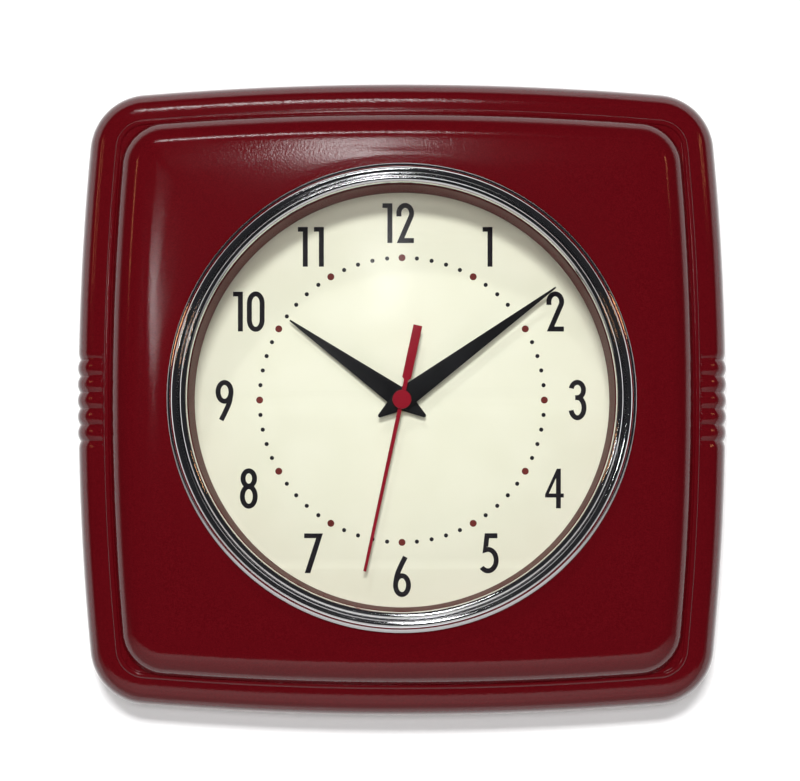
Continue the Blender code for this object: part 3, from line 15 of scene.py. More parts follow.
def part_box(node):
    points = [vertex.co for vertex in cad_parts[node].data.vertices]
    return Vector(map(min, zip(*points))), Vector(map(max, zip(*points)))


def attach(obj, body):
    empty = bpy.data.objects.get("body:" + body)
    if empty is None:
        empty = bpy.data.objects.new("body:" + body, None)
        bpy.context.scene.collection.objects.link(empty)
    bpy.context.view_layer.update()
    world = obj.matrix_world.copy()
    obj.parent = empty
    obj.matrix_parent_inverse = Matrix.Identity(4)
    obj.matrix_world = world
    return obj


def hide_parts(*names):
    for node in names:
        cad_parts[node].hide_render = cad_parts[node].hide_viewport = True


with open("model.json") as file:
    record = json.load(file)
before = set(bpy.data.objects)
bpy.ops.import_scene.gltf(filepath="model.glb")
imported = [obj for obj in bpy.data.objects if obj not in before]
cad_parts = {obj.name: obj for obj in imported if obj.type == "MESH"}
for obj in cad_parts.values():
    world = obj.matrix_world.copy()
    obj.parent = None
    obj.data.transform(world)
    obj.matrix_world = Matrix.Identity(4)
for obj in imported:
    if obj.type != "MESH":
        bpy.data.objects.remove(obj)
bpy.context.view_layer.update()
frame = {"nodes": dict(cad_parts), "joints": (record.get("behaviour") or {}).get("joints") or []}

MM = 0.001
CASE_BODY = "case"
SECOND_BODY = "second_hand_body"
AXIS = next(j for j in frame["joints"] if j["name"] == "minute_hand_turn")["pos_m"]
FACE = Matrix.Translation((0.0, 0.0, AXIS[2])) @ Matrix.Rotation(math.pi / 2, 4, "X")


def half_size(node):
    """Half the width and half the height of a node that is centred on the axis of the hands."""
    low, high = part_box(node)
    return (high.x - low.x) / 2, (high.z - low.z) / 2


def depths(node):
    """How far the rear and the front of a node are from the wall."""
    low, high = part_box(node)
    return -high.y, -low.y


# Case
CASE_HALF_WIDTH, CASE_HALF_HEIGHT = half_size("case_shell")
PANEL_DEPTH = depths("case_shell")[1]
CASE_CORNER = 22.0 * MM
SIDE_BOW_RADIUS = 980.0 * MM
TOP_BOW_RADIUS = 1150.0 * MM
CASE_WALL = 2.4 * MM
REAR_TAPER = 3.0 * MM
WIDEST_DEPTH = 20.0 * MM
FLANGE_DEPTH = 33.0 * MM
SIDE_MARGIN = 13.5 * MM
TOP_MARGIN = 12.5 * MM
PANEL_CORNER = 17.0 * MM
PANEL_ROUND = 14.5 * MM
SEAT_MARGIN = 2.8 * MM
SEAT_SHARES = (0.3, 0.6, 0.85)
SECTION_STEPS = 6
LEDGE_STEPS = 4
PANEL_STEPS = 8

# Ribs on the flange, at mid-height on both sides
RIB_NOTCHES = 6
RIB_PITCH = 6.03 * MM
RIB_NOTCH = 0.75 * MM
RIB_CREST = 0.25 * MM
RIB_REACH = 10.4 * MM
RIB_CENTRE = -0.3 * MM
RIB_SHARPNESS = 0.8
RIB_STEPS = 16

# Opening, ring, lens and dial
RING_OUTER = half_size("bezel_ring")[0] + 1.1 * MM
RING_REAR, RING_FRONT = depths("bezel_ring")
LENS_RADIUS = half_size("lens")[0]
LENS_REAR, LENS_FRONT = depths("lens")
LENS_RIM = 4.1 * MM
LENS_THICKNESS = 1.6 * MM
LENS_STEPS = 48
OPENING_RADIUS = 77.3 * MM
OPENING_WALL = 2.2 * MM
OPENING_EDGE = 0.3 * MM
DIAL_GAP = 0.3 * MM
DIAL_RADIUS = half_size("dial_plate")[0]
DIAL_BACK, DIAL_FRONT = depths("dial_plate")
DIAL_BORE = 3.3 * MM
DIAL_SCREW_BORE = 1.6 * MM
DIAL_EDGE = 0.05 * MM

# Print on the dial
INK_THICKNESS = 0.06 * MM
INK_LIFT = 0.01 * MM
NUMERAL_RADIUS = 66.0 * MM
NUMERAL_NUDGE = {
    12: -1.4 * MM,
    11: -1.0 * MM,
    1: -1.1 * MM,
    3: -0.5 * MM,
    4: -0.3 * MM,
    5: -0.3 * MM,
    9: -0.2 * MM,
}
STROKE = 1.85 * MM
DOT_CIRCLE = 53.1 * MM
HOUR_DOT_RADIUS = 1.3 * MM
MINUTE_DOT_RADIUS = 0.78 * MM

# Hands
HAND_BEVEL = 0.07 * MM
HOUR_HAND_LENGTH = 51.0 * MM
MINUTE_HAND_LENGTH = 70.5 * MM
SECOND_HAND_LENGTH = 65.0 * MM
HAND_HALF_WIDTH = 4.1 * MM
HAND_TAIL = 10.8 * MM
HAND_TIP_HALF_WIDTH = 0.3 * MM
HAND_TAIL_HALF_WIDTH = 0.7 * MM
NEEDLE_HALF_WIDTH = 0.75 * MM
NEEDLE_TIP_HALF_WIDTH = 0.55 * MM
NECK_HALF_WIDTH = 0.8 * MM
NECK_LENGTH = 7.4 * MM
COUNTERWEIGHT_LENGTH = 28.0 * MM
COUNTERWEIGHT_HALF_WIDTH = 1.65 * MM
BOSS_HALF_WIDTH = 2.1 * MM
BUTTON_RADIUS = 3.5 * MM
BUTTON_EDGE = 0.35 * MM
BUTTON_LIFT = 0.3 * MM
BUTTON_STEM = 1.2 * MM
BUTTON_BORE = 0.7 * MM
HOUR_BORE = 2.3 * MM
MINUTE_BORE = 1.5 * MM
SECOND_BORE = 1.55 * MM
HOUR_ANGLE = 305.3
MINUTE_ANGLE = 53.9
SECOND_ANGLE = 192.2

# Camera, wall and floor
CAMERA_PLACE = (0.0034, -0.82, -0.1138)
CAMERA_LENS = 96.5
CAMERA_SENSOR = 36.0
CAMERA_SHIFT = (-0.0139, 0.0984)
WALL_GAP = 0.5 * MM
WALL_HALF_WIDTH = 1.1
WALL_TOP = 1.0
FLOOR_LEVEL = -0.62
FLOOR_REACH = 3.0
FLOOR_FRONT = 0.85

# Fineness of the meshes
SHARP_ANGLE = 35.0
ON_AXIS = 1e-9
MERGE_DISTANCE = 1e-7
BEVEL_STEPS = 2
RING_STEPS = 288
DISC_STEPS = 192
BORE_STEPS = 48
BUTTON_STEPS = 64
HOUR_DOT_STEPS = 32
MINUTE_DOT_STEPS = 24


# Meshes


def polar(angle, radius, origin=(0.0, 0.0)):
    """The point at an angle in degrees and a radius from an origin."""
    turn = math.radians(angle)
    return Vector((origin[0] + radius * math.cos(turn), origin[1] + radius * math.sin(turn)))


def arc(centre, radii, start, end, steps):
    """Points along an arc of an ellipse, both ends among them."""
    points = []
    for step in range(steps + 1):
        turn = math.radians(start + (end - start) * step / steps)
        points.append(Vector((centre[0] + radii[0] * math.cos(turn), centre[1] + radii[1] * math.sin(turn))))
    return points


def mm_points(points):
    """Points that are drawn in millimetres, in the scene's own unit."""
    return [Vector(p) * MM for p in points]


def spline_points(points, steps):
    """A smooth path through the points, with this many steps from each to the next."""
    padded = [points[0] * 2 - points[1], *points, points[-1] * 2 - points[-2]]
    path = []
    for a, b, c, d in zip(padded, padded[1:], padded[2:], padded[3:]):
        for step in range(steps):
            t = step / steps
            path.append(
                b
                + (c - a) * (0.5 * t)
                + (a - b * 2.5 + c * 2 - d * 0.5) * t**2
                + (b * 1.5 - a * 0.5 - c * 1.5 + d * 0.5) * t**3
            )
    path.append(points[-1])
    return path


def mesh_from(name, vertices, faces):
    """A finished mesh of vertices and faces."""
    mesh = bpy.data.meshes.new(name)
    mesh.from_pydata(vertices, [], faces)
    return tidy_mesh(mesh)


def tidy_mesh(mesh):
    """Turns the normals outward, and shades the mesh smooth except over its sharp edges."""
    work = bmesh.new()
    work.from_mesh(mesh)
    bmesh.ops.recalc_face_normals(work, faces=work.faces)
    work.to_mesh(mesh)
    work.free()
    mesh.shade_smooth()
    mesh.set_sharp_from_angle(angle=math.radians(SHARP_ANGLE))
    return mesh


def loft(name, rings):
    """A closed skin through rings of (x, y, z) points, from the last ring back to the first."""
    count = len(rings[0])
    vertices = [tuple(p) for ring in rings for p in ring]
    faces = []
    for near in range(len(rings)):
        far = (near + 1) % len(rings)
        for i in range(count):
            j = (i + 1) % count
            faces.append((near * count + i, near * count + j, far * count + j, far * count + i))
    return mesh_from(name, vertices, faces)


def turned(name, profile, steps):
    """A closed profile of (radius, z) points turned about z; a point at radius 0 closes it."""
    vertices = []
    rows = []
    for radius, z in profile:
        if radius < ON_AXIS:
            rows.append([len(vertices)])
            vertices.append((0.0, 0.0, z))
            continue
        rows.append(list(range(len(vertices), len(vertices) + steps)))
        vertices += [(*polar(360.0 * i / steps, radius), z) for i in range(steps)]
    faces = []
    for near, far in zip(rows, rows[1:] + rows[:1]):
        for i in range(steps):
            j = (i + 1) % steps
            corners = [near[i % len(near)], near[j % len(near)], far[j % len(far)], far[i % len(far)]]
            distinct = list(dict.fromkeys(corners))
            if len(distinct) > 2:
                faces.append(distinct)
    return mesh_from(name, vertices, faces)


def plate_mesh(name, outlines, low, high, bevel=0.0):
    """Outlines filled and extruded from low to high, with rounded rims; an inner outline is a hole."""
    curve = bpy.data.curves.new(name, "CURVE")
    curve.dimensions = "2D"
    curve.fill_mode = "BOTH"
    curve.extrude = (high - low) / 2 - bevel
    curve.bevel_depth = bevel
    curve.bevel_resolution = BEVEL_STEPS
    curve.offset = -bevel
    for points in outlines:
        spline = curve.splines.new("POLY")
        spline.points.add(len(points) - 1)
        for slot, point in zip(spline.points, points):
            slot.co = (point[0], point[1], 0.0, 1.0)
        spline.use_cyclic_u = True
    flat = bpy.data.objects.new(name, curve)
    bpy.context.scene.collection.objects.link(flat)
    graph = bpy.context.evaluated_depsgraph_get()
    mesh = bpy.data.meshes.new_from_object(flat.evaluated_get(graph))
    bpy.data.objects.remove(flat)
    bpy.data.curves.remove(curve)
    mesh.transform(Matrix.Translation((0.0, 0.0, (low + high) / 2)))
    work = bmesh.new()
    work.from_mesh(mesh)
    bmesh.ops.remove_doubles(work, verts=work.verts, dist=MERGE_DISTANCE)
    work.to_mesh(mesh)
    work.free()
    return tidy_mesh(mesh)


def joined(name, meshes):
    """One mesh of several."""
    work = bmesh.new()
    for mesh in meshes:
        work.from_mesh(mesh)
        bpy.data.meshes.remove(mesh)
    whole = bpy.data.meshes.new(name)
    work.to_mesh(whole)
    work.free()
    return tidy_mesh(whole)


def united(name, meshes):
    """The Boolean union of several meshes."""
    things = [bpy.data.objects.new(f"{name}_{i}", mesh) for i, mesh in enumerate(meshes)]
    for thing in things:
        bpy.context.scene.collection.objects.link(thing)
    for other in things[1:]:
        step = things[0].modifiers.new("union", "BOOLEAN")
        step.operation = "UNION"
        step.object = other
    graph = bpy.context.evaluated_depsgraph_get()
    whole = bpy.data.meshes.new_from_object(things[0].evaluated_get(graph))
    for thing, mesh in zip(things, meshes):
        bpy.data.objects.remove(thing)
        bpy.data.meshes.remove(mesh)
    return tidy_mesh(whole)


def add_piece(name, mesh, material, body=CASE_BODY, replaces=(), turn=0.0):
    """Puts a mesh made in face coordinates into the world, on a body, in place of CAD nodes."""
    mesh.transform(FACE @ Matrix.Rotation(math.radians(turn), 4, "Z"))
    mesh.materials.clear()
    mesh.materials.append(material)
    thing = bpy.data.objects.new(name, mesh)
    bpy.context.scene.collection.objects.link(thing)
    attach(thing, body)
    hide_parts(*replaces)
    return thing


# Materials


class Look:
    """A material's node tree, with short calls for the few kinds of node used here."""

    def __init__(self, name):
        self.material = bpy.data.materials.new(name)
        self.material.use_nodes = True
        self.tree = self.material.node_tree
        self.shader = self.tree.nodes["Principled BSDF"]
        self.coordinates = self.tree.nodes.new("ShaderNodeTexCoord").outputs["Object"]

    def set(self, **values):
        """Values of the shader's own sockets, such as coat_weight for Coat Weight."""
        for name, value in values.items():
            socket = self.shader.inputs[name.replace("_", " ").title().replace("Ior", "IOR")]
            socket.default_value = (*value, 1.0) if isinstance(value, tuple) else value
        return self

    def noise(self, scale, detail=2.0, roughness=0.5):
        """An even noise over the piece, as a number from 0 to 1."""
        node = self.tree.nodes.new("ShaderNodeTexNoise")
        node.inputs["Scale"].default_value = scale
        node.inputs["Detail"].default_value = detail
        node.inputs["Roughness"].default_value = roughness
        self.tree.links.new(self.coordinates, node.inputs["Vector"])
        return node.outputs["Fac"]

    def ramp(self, source, low, high, start=0.35, end=0.65):
        """Two colours, or two numbers, across a range of a texture's values."""
        node = self.tree.nodes.new("ShaderNodeValToRGB")
        for stop, place, value in zip(node.color_ramp.elements, (start, end), (low, high)):
            colour = value if isinstance(value, tuple) else (value, value, value)
            stop.position = place
            stop.color = (*colour, 1.0)
        self.tree.links.new(source, node.inputs["Fac"])
        return node.outputs["Color"]

    def feed(self, socket, source):
        """Links a texture to one of the shader's sockets."""
        self.tree.links.new(source, self.shader.inputs[socket])
        return self

    def bump(self, source, strength, distance, socket="Normal"):
        """Lets a texture tilt the surface, or the clear coat over it."""
        node = self.tree.nodes.new("ShaderNodeBump")
        node.inputs["Strength"].default_value = strength
        node.inputs["Distance"].default_value = distance
        self.tree.links.new(source, node.inputs["Height"])
        self.tree.links.new(node.outputs["Normal"], self.shader.inputs[socket])
        return self


RED_GLOSS = ((0.078, 0.0012, 0.0032), (0.114, 0.0030, 0.0058))
RED_SATIN = ((0.085, 0.002, 0.005), (0.125, 0.004, 0.008))
LENS_TINT = (0.985, 0.99, 0.985)
LENS_SHINE = (0.012, 0.60)
LENS_SHINE_BLEND = 0.12


def make_red_gloss():
    """Dark red moulded plastic under a clear gloss, with a faint orange peel and fine flecks."""
    look = Look("case_red")
    look.set(roughness=0.6, specular_ior_level=0.0, coat_weight=1.0, coat_roughness=0.11, coat_ior=1.5)
    flecks = look.noise(2600.0, 1.0)
    look.feed("Base Color", look.ramp(flecks, *RED_GLOSS, 0.3, 0.7))
    peel = look.noise(1500.0, 1.0)
    look.bump(peel, 0.10, 0.25 * MM, "Coat Normal")
    return look.material


def make_red_satin():
    """The same plastic without its gloss, as on the wall of the opening and inside the case."""
    look = Look("case_red_satin").set(roughness=0.55, specular_ior_level=0.15)
    flecks = look.noise(1800.0, 1.0)
    look.feed("Base Color", look.ramp(flecks, *RED_SATIN, 0.3, 0.7))
    look.bump(look.noise(900.0, 2.0), 0.06, 0.2 * MM)
    return look.material


def make_chrome():
    """Bright plating with faint polishing marks."""
    look = Look("ring_chrome").set(base_color=(0.80, 0.80, 0.81), metallic=1.0)
    look.feed("Roughness", look.ramp(look.noise(90.0, 4.0), 0.07, 0.10))
    return look.material


def make_lens_clear():
    """A clear window: straight through, with a reflection that grows towards its edge."""
    look = Look("lens_clear")
    tree = look.tree
    tree.nodes.remove(look.shader)
    output = tree.nodes["Material Output"]
    clear = tree.nodes.new("ShaderNodeBsdfTransparent")
    clear.inputs["Color"].default_value = (*LENS_TINT, 1.0)
    gloss = tree.nodes.new("ShaderNodeBsdfGlossy")
    gloss.inputs["Color"].default_value = (1.0, 1.0, 1.0, 1.0)
    haze = look.ramp(look.noise(14.0, 3.0), 0.18, 0.22)
    tree.links.new(haze, gloss.inputs["Roughness"])
    weight = tree.nodes.new("ShaderNodeLayerWeight")
    weight.inputs["Blend"].default_value = LENS_SHINE_BLEND
    share = tree.nodes.new("ShaderNodeMapRange")
    share.inputs["To Min"].default_value = LENS_SHINE[0]
    share.inputs["To Max"].default_value = LENS_SHINE[1]
    mix = tree.nodes.new("ShaderNodeMixShader")
    tree.links.new(weight.outputs["Facing"], share.inputs["Value"])
    tree.links.new(share.outputs["Result"], mix.inputs["Fac"])
    tree.links.new(clear.outputs["BSDF"], mix.inputs[1])
    tree.links.new(gloss.outputs["BSDF"], mix.inputs[2])
    tree.links.new(mix.outputs["Shader"], output.inputs["Surface"])
    return look.material


def make_painted(name, dark, light, roughness, grain=900.0, depth=0.02):
    """Paint or print with a faint variation and a fine grain."""
    look = Look(name).set(specular_ior_level=0.35)
    look.feed("Base Color", look.ramp(look.noise(60.0, 3.0), dark, light))
    look.feed("Roughness", look.ramp(look.noise(220.0, 2.0), roughness - 0.05, roughness + 0.05))
    look.bump(look.noise(grain * 3, 2.0), depth, 0.1 * MM)
    return look.material


def make_moulded(name, dark, light, roughness=0.5, grain=1400.0, depth=0.12):
    """Moulded plastic with a fine spark-eroded texture."""
    look = Look(name)
    look.feed("Base Color", look.ramp(look.noise(45.0, 4.0), dark, light))
    look.feed("Roughness", look.ramp(look.noise(300.0, 2.0), roughness - 0.06, roughness + 0.06))
    look.bump(look.noise(grain, 3.0, 0.6), depth, 0.15 * MM)
    return look.material


def make_metal(name, dark, light, roughness):
    """Bare metal with a little tarnish and fine scratches."""
    look = Look(name).set(metallic=1.0)
    look.feed("Base Color", look.ramp(look.noise(120.0, 4.0), dark, light))
    look.feed("Roughness", look.ramp(look.noise(500.0, 3.0), roughness - 0.07, roughness + 0.09))
    look.bump(look.noise(1500.0, 2.0), 0.05, 0.05 * MM)
    return look.material


LOOKS = {
    "case_red": make_red_gloss(),
    "case_red_satin": make_red_satin(),
    "ring_chrome": make_chrome(),
    "lens_clear": make_lens_clear(),
    "dial_cream": make_painted("dial_cream", (0.835, 0.825, 0.668), (0.865, 0.855, 0.702), 0.62),
    "hand_black": make_painted("hand_black", (0.006, 0.006, 0.007), (0.012, 0.012, 0.014), 0.42),
    "hand_red": make_painted("hand_red", (0.235, 0.004, 0.014), (0.275, 0.007, 0.020), 0.40),
    "ink_black": make_painted("ink_black", (0.010, 0.009, 0.012), (0.017, 0.015, 0.019), 0.55),
    "ink_red": make_painted("ink_red", (0.120, 0.020, 0.017), (0.165, 0.030, 0.026), 0.55),
    "plastic_black": make_moulded("plastic_black", (0.019, 0.019, 0.020), (0.025, 0.025, 0.026)),
    "plastic_white": make_moulded("plastic_white", (0.66, 0.66, 0.62), (0.74, 0.74, 0.70), 0.45),
    "brass": make_metal("brass", (0.50, 0.35, 0.11), (0.62, 0.46, 0.18), 0.26),
    "steel": make_metal("steel", (0.42, 0.42, 0.43), (0.56, 0.56, 0.57), 0.30),
    "rubber": make_moulded("rubber", (0.012, 0.012, 0.012), (0.022, 0.022, 0.022), 0.85),
    "copper": make_metal("copper", (0.50, 0.16, 0.07), (0.64, 0.25, 0.12), 0.34),
    "board_green": make_moulded("board_green", (0.022, 0.13, 0.045), (0.035, 0.17, 0.065), 0.45),
    "magnet": make_moulded("magnet", (0.07, 0.07, 0.075), (0.12, 0.12, 0.125), 0.5),
    "battery_sleeve": make_moulded("battery_sleeve", (0.020, 0.045, 0.090), (0.030, 0.060, 0.115), 0.28),
}


CAD_LOOKS = {
    "red_gloss": "case_red",
    "chrome_plate": "ring_chrome",
    "clear_lens": "lens_clear",
    "dial_paint": "dial_cream",
    "black_plastic": "plastic_black",
    "white_plastic": "plastic_white",
    "copper_wire": "copper",
    "board_resin": "board_green",
}


def dress_cad_nodes():
    """Gives each CAD node that stays in view the finished material of its slot."""
    for node in frame["nodes"].values():
        for slot in node.material_slots:
            name = slot.material.name.split(".")[0]
            slot.material = LOOKS[CAD_LOOKS.get(name, name)]


# Case


class Bowed:
    """A square outline with bowed sides and round corners, all of them arcs."""

    SIDE_STEPS = 24
    CORNER_STEPS = 26
    TOP_STEPS = 40

    def __init__(self, half_width, half_height, corner):
        self.corner = corner
        self.side_centre = Vector((half_width - SIDE_BOW_RADIUS, 0.0))
        self.top_centre = Vector((0.0, half_height - TOP_BOW_RADIUS))
        self.corner_centre = self.tangent_centre()

    def tangent_centre(self):
        """The centre of the corner arc that touches both bowed sides."""
        from_side = SIDE_BOW_RADIUS - self.corner
        from_top = TOP_BOW_RADIUS - self.corner
        between = self.top_centre - self.side_centre
        apart = between.length
        along = (from_side**2 - from_top**2 + apart**2) / (2 * apart)
        across = math.sqrt(from_side**2 - along**2)
        forward = between / apart
        return self.side_centre + forward * along + Vector((-forward.y, forward.x)) * across

    def spokes(self):
        """(centre, radius, angle) of each point of the quarter from the right side to the top."""
        to_side = self.corner_centre - self.side_centre
        to_top = self.corner_centre - self.top_centre
        side_end = math.atan2(to_side.y, to_side.x)
        top_start = math.atan2(to_top.y, to_top.x)
        ribbed = (RIB_NOTCHES + 1) * RIB_PITCH / 2 / SIDE_BOW_RADIUS
        rib_steps = (RIB_NOTCHES + 1) * RIB_STEPS // 2
        arcs = (
            (self.side_centre, SIDE_BOW_RADIUS, 0.0, ribbed, rib_steps),
            (self.side_centre, SIDE_BOW_RADIUS, ribbed, side_end, self.SIDE_STEPS),
            (self.corner_centre, self.corner, side_end, top_start, self.CORNER_STEPS),
            (self.top_centre, TOP_BOW_RADIUS, top_start, math.pi / 2, self.TOP_STEPS),
        )
        spokes = []
        for centre, radius, start, end, steps in arcs:
            for step in range(steps):
                spokes.append((centre, radius, start + (end - start) * step / steps))
        return spokes + [(self.top_centre, TOP_BOW_RADIUS, math.pi / 2)]

    def ring(self, inset):
        """The whole outline moved in by inset, as (point, outward direction) pairs."""
        quarter = []
        for centre, radius, angle in self.spokes():
            out = Vector((math.cos(angle), math.sin(angle)))
            quarter.append((centre + out * (radius - inset), out))
        half = quarter + [(mirror_x(p), mirror_x(out)) for p, out in reversed(quarter[:-1])]
        return half + [(mirror_y(p), mirror_y(out)) for p, out in reversed(half[1:-1])]


def mirror_x(v):
    return Vector((-v.x, v.y))


def mirror_y(v):
    return Vector((v.x, -v.y))


CASE_OUTLINE = Bowed(CASE_HALF_WIDTH, CASE_HALF_HEIGHT, CASE_CORNER)
PANEL_OUTLINE = Bowed(CASE_HALF_WIDTH - SIDE_MARGIN, CASE_HALF_HEIGHT - TOP_MARGIN, PANEL_CORNER)


def rib_profile(y):
    """How far the ribbed flange stands out of its plain shape at height y."""
    place = (y - RIB_CENTRE) / RIB_PITCH + (RIB_NOTCHES - 1) / 2
    wave = abs(math.sin(math.pi * place)) ** RIB_SHARPNESS
    if -0.5 < place < RIB_NOTCHES - 0.5:
        crest = RIB_CREST if 0.0 < place < RIB_NOTCHES - 1 else 0.0
        return -RIB_NOTCH + (RIB_NOTCH + crest) * wave
    return 0.0


def flange_section():
    """The case from its rear rim over the flange to the panel's foot, as (inset, z).

    The points are drawn in millimetres.
    """
    rear = [(3.0, 0.0), (1.9, 3.5), (1.1, 7.5), (0.30, 14.0), (0.0, 20.0), (0.55, 24.5), (2.0, 28.3)]
    front = [(4.6, 31.1), (6.4, 31.95), (8.3, 32.45), (10.2, 32.76), (10.7, 32.83), (10.95, 32.86)]
    ledge = [(11.15, 33.12), (11.5, 33.40), (12.2, 33.44), (12.75, 33.30), (13.0, 33.0), (13.35, 32.86)]
    points = mm_points(rear + front)
    path = spline_points(points, SECTION_STEPS)
    path = path[:-1] + spline_points([points[-1], *mm_points(ledge)], LEDGE_STEPS)
    foot_drop = 0.15 * MM
    return path + [Vector((SIDE_MARGIN, FLANGE_DEPTH - foot_drop))]


def rib_share(point):
    """1 where the ribs run, falling to 0 at the rear rim and, in a short step, at their inner end."""
    inset, z = point
    rear_start = 2.0 * MM
    rear_length = 5.0 * MM
    inner_end = RIB_REACH + 0.2 * MM
    inner_length = 0.25 * MM
    if z < WIDEST_DEPTH:
        return min(max((z - rear_start) / rear_length, 0.0), 1.0)
    return min(max((inner_end - inset) / inner_length, 0.0), 1.0)


def panel_section():
    """The raised panel from its foot to the end of its round, as (inset, z).

    The shape is drawn in shares of the round's width and of the panel's rise.
    """
    rise = PANEL_DEPTH - FLANGE_DEPTH
    shape = [(0.0, 0.0), (0.062, 0.30), (0.17, 0.54), (0.36, 0.765), (0.60, 0.905), (1.0, 0.975)]
    points = [Vector((PANEL_ROUND * a, FLANGE_DEPTH + rise * b)) for a, b in shape]
    return spline_points(points, PANEL_STEPS)


def section_normals(path):
    """The direction out of the case at each point of a section, as (outward, forward)."""
    normals = []
    for i, point in enumerate(path):
        step = path[min(i + 1, len(path) - 1)] - path[max(i - 1, 0)]
        normals.append(Vector((step.y, step.x)).normalized())
    return normals


def flange_rings():
    """The rear, the flange and the ledge, with the ribs on both sides."""
    path = flange_section()
    rings = []
    for point, (outward, forward) in zip(path, section_normals(path)):
        share = rib_share(point)
        ring = []
        for place, out in CASE_OUTLINE.ring(point.x):
            ribbed = abs(place.x) > CASE_HALF_WIDTH - 2 * SIDE_MARGIN and share > 0.0
            lift = rib_profile(place.y) * share if ribbed else 0.0
            moved = place + out * lift * outward
            ring.append((moved.x, moved.y, point.y + lift * forward))
        rings.append(ring)
    return rings


def round_ring(radius, z, like):
    """A circle with its points in the same directions as those of another ring."""
    return [(*(Vector(p[:2]).normalized() * radius), z) for p in like]


def flat_rings(outline, section):
    """A ring of an outline for each (inset, z) of a section."""
    return [[(*p, z) for p, _ in outline.ring(inset)] for inset, z in section]


def seat_rings(like):
    """From the end of the panel's round to the edge of the opening, over the seat of the chrome ring."""
    seat = RING_OUTER + SEAT_MARGIN
    rings = []
    for share in SEAT_SHARES:
        ring = []
        for p in like:
            flat_place = Vector(p[:2])
            place = flat_place.lerp(flat_place.normalized() * seat, share)
            ring.append((*place, p[2] + (PANEL_DEPTH - p[2]) * math.sin(share * math.pi / 2)))
        rings.append(ring)
    rings.append(round_ring(seat, PANEL_DEPTH, like))
    rings.append(round_ring(OPENING_RADIUS + OPENING_EDGE, PANEL_DEPTH, like))
    return rings


def opening_rings(like):
    """The wall of the opening, down to the dial and back up behind it."""
    throat = OPENING_RADIUS + OPENING_WALL
    back = DIAL_FRONT + DIAL_GAP
    return [
        round_ring(OPENING_RADIUS, PANEL_DEPTH - OPENING_EDGE, like),
        round_ring(OPENING_RADIUS, back, like),
        round_ring(throat, back, like),
        round_ring(throat, PANEL_DEPTH - CASE_WALL, like),
    ]


def inside_rings():
    """The inside of the case, from under the panel to the rear rim."""
    under = [(PANEL_ROUND + 2.0 * MM, PANEL_DEPTH - CASE_WALL - 0.5 * MM), (5.0 * MM, 39.0 * MM)]
    under += [(2.5 * MM, 33.0 * MM), (1.4 * MM, 30.6 * MM)]
    wall = [(8.0, 29.9), (4.4, 27.6), (2.7, 23.5), (2.4, 19.5), (3.4, 8.0), (5.4, 0.0)]
    return flat_rings(PANEL_OUTLINE, under) + flat_rings(CASE_OUTLINE, mm_points(wall))


def make_case():
    """The case is glossy outside, and satin on the wall of its opening and inside."""
    rings = flange_rings() + flat_rings(PANEL_OUTLINE, panel_section())
    like = rings[-1]
    rings += seat_rings(like)
    first_satin = len(rings)
    rings += opening_rings(like) + inside_rings()
    mesh = loft("case_body", rings)
    case = add_piece("case_body", mesh, LOOKS["case_red"], replaces=["case_shell"])
    case.data.materials.append(LOOKS["case_red_satin"])
    for face in case.data.polygons:
        if face.index // len(like) >= first_satin:
            face.material_index = 1


# Ring, lens and dial


def make_ring():
    """A sloping lip, a broad round, a valley and a bead, over the rebate that holds the lens."""
    outer = RING_OUTER
    base = RING_REAR
    lip = 2.3 * MM
    lip_start = base + 0.5 * MM
    crest = RING_FRONT - 1.9 * MM
    valley = RING_FRONT - 3.1 * MM
    round_centre = outer - 3.35 * MM
    bead_centre = outer - 6.65 * MM
    round_rise = 5.6 * MM
    bead_drop = 1.4 * MM
    profile = [Vector((outer, base)), Vector((outer, lip_start))]
    profile += arc((outer - lip, lip_start), (lip, 1.5 * MM), 6.0, 66.0, 14)
    profile += arc((round_centre, crest - round_rise), (1.95 * MM, round_rise), 14.0, 88.0, 26)
    profile += arc((round_centre, valley), (1.85 * MM, 1.2 * MM), 90.0, 176.0, 18)
    profile += arc((bead_centre, valley), (1.35 * MM, 3.1 * MM), 6.0, 88.0, 16)
    profile += arc((bead_centre, valley + bead_drop), (1.55 * MM, 1.7 * MM), 90.0, 178.0, 16)
    inner = outer - 8.2 * MM
    undercut = inner + 1.3 * MM
    rebate = LENS_REAR + LENS_THICKNESS + 0.6 * MM
    rebate_radius = LENS_RADIUS + 0.3 * MM
    profile += [Vector((inner, valley + 0.8 * MM)), Vector((undercut, valley + 0.2 * MM))]
    profile += [Vector((undercut, rebate)), Vector((rebate_radius, rebate))]
    profile += [Vector((rebate_radius, base))]
    mesh = turned("chrome_ring", profile, RING_STEPS)
    add_piece("chrome_ring", mesh, LOOKS["ring_chrome"], replaces=["bezel_ring"])


def make_lens():
    """A window of even thickness, flat at its rim and domed within it."""
    dome = LENS_RADIUS - LENS_RIM
    rim_front = LENS_REAR + LENS_THICKNESS
    rise = LENS_FRONT - rim_front
    ball = (dome**2 + rise**2) / (2 * rise)
    front = []
    for step in range(LENS_STEPS + 1):
        radius = dome * step / LENS_STEPS
        front.append(Vector((radius, rim_front + math.sqrt(ball**2 - radius**2) - ball + rise)))
    rear = [Vector((p.x, p.y - LENS_THICKNESS)) for p in reversed(front)]
    rim = [Vector((LENS_RADIUS, rim_front)), Vector((LENS_RADIUS, LENS_REAR))]
    mesh = turned("window", front + rim + rear, DISC_STEPS)
    add_piece("window", mesh, LOOKS["lens_clear"], replaces=["lens"])


def circle(radius, steps, origin=(0.0, 0.0)):
    return [polar(360.0 * i / steps, radius, origin) for i in range(steps)]


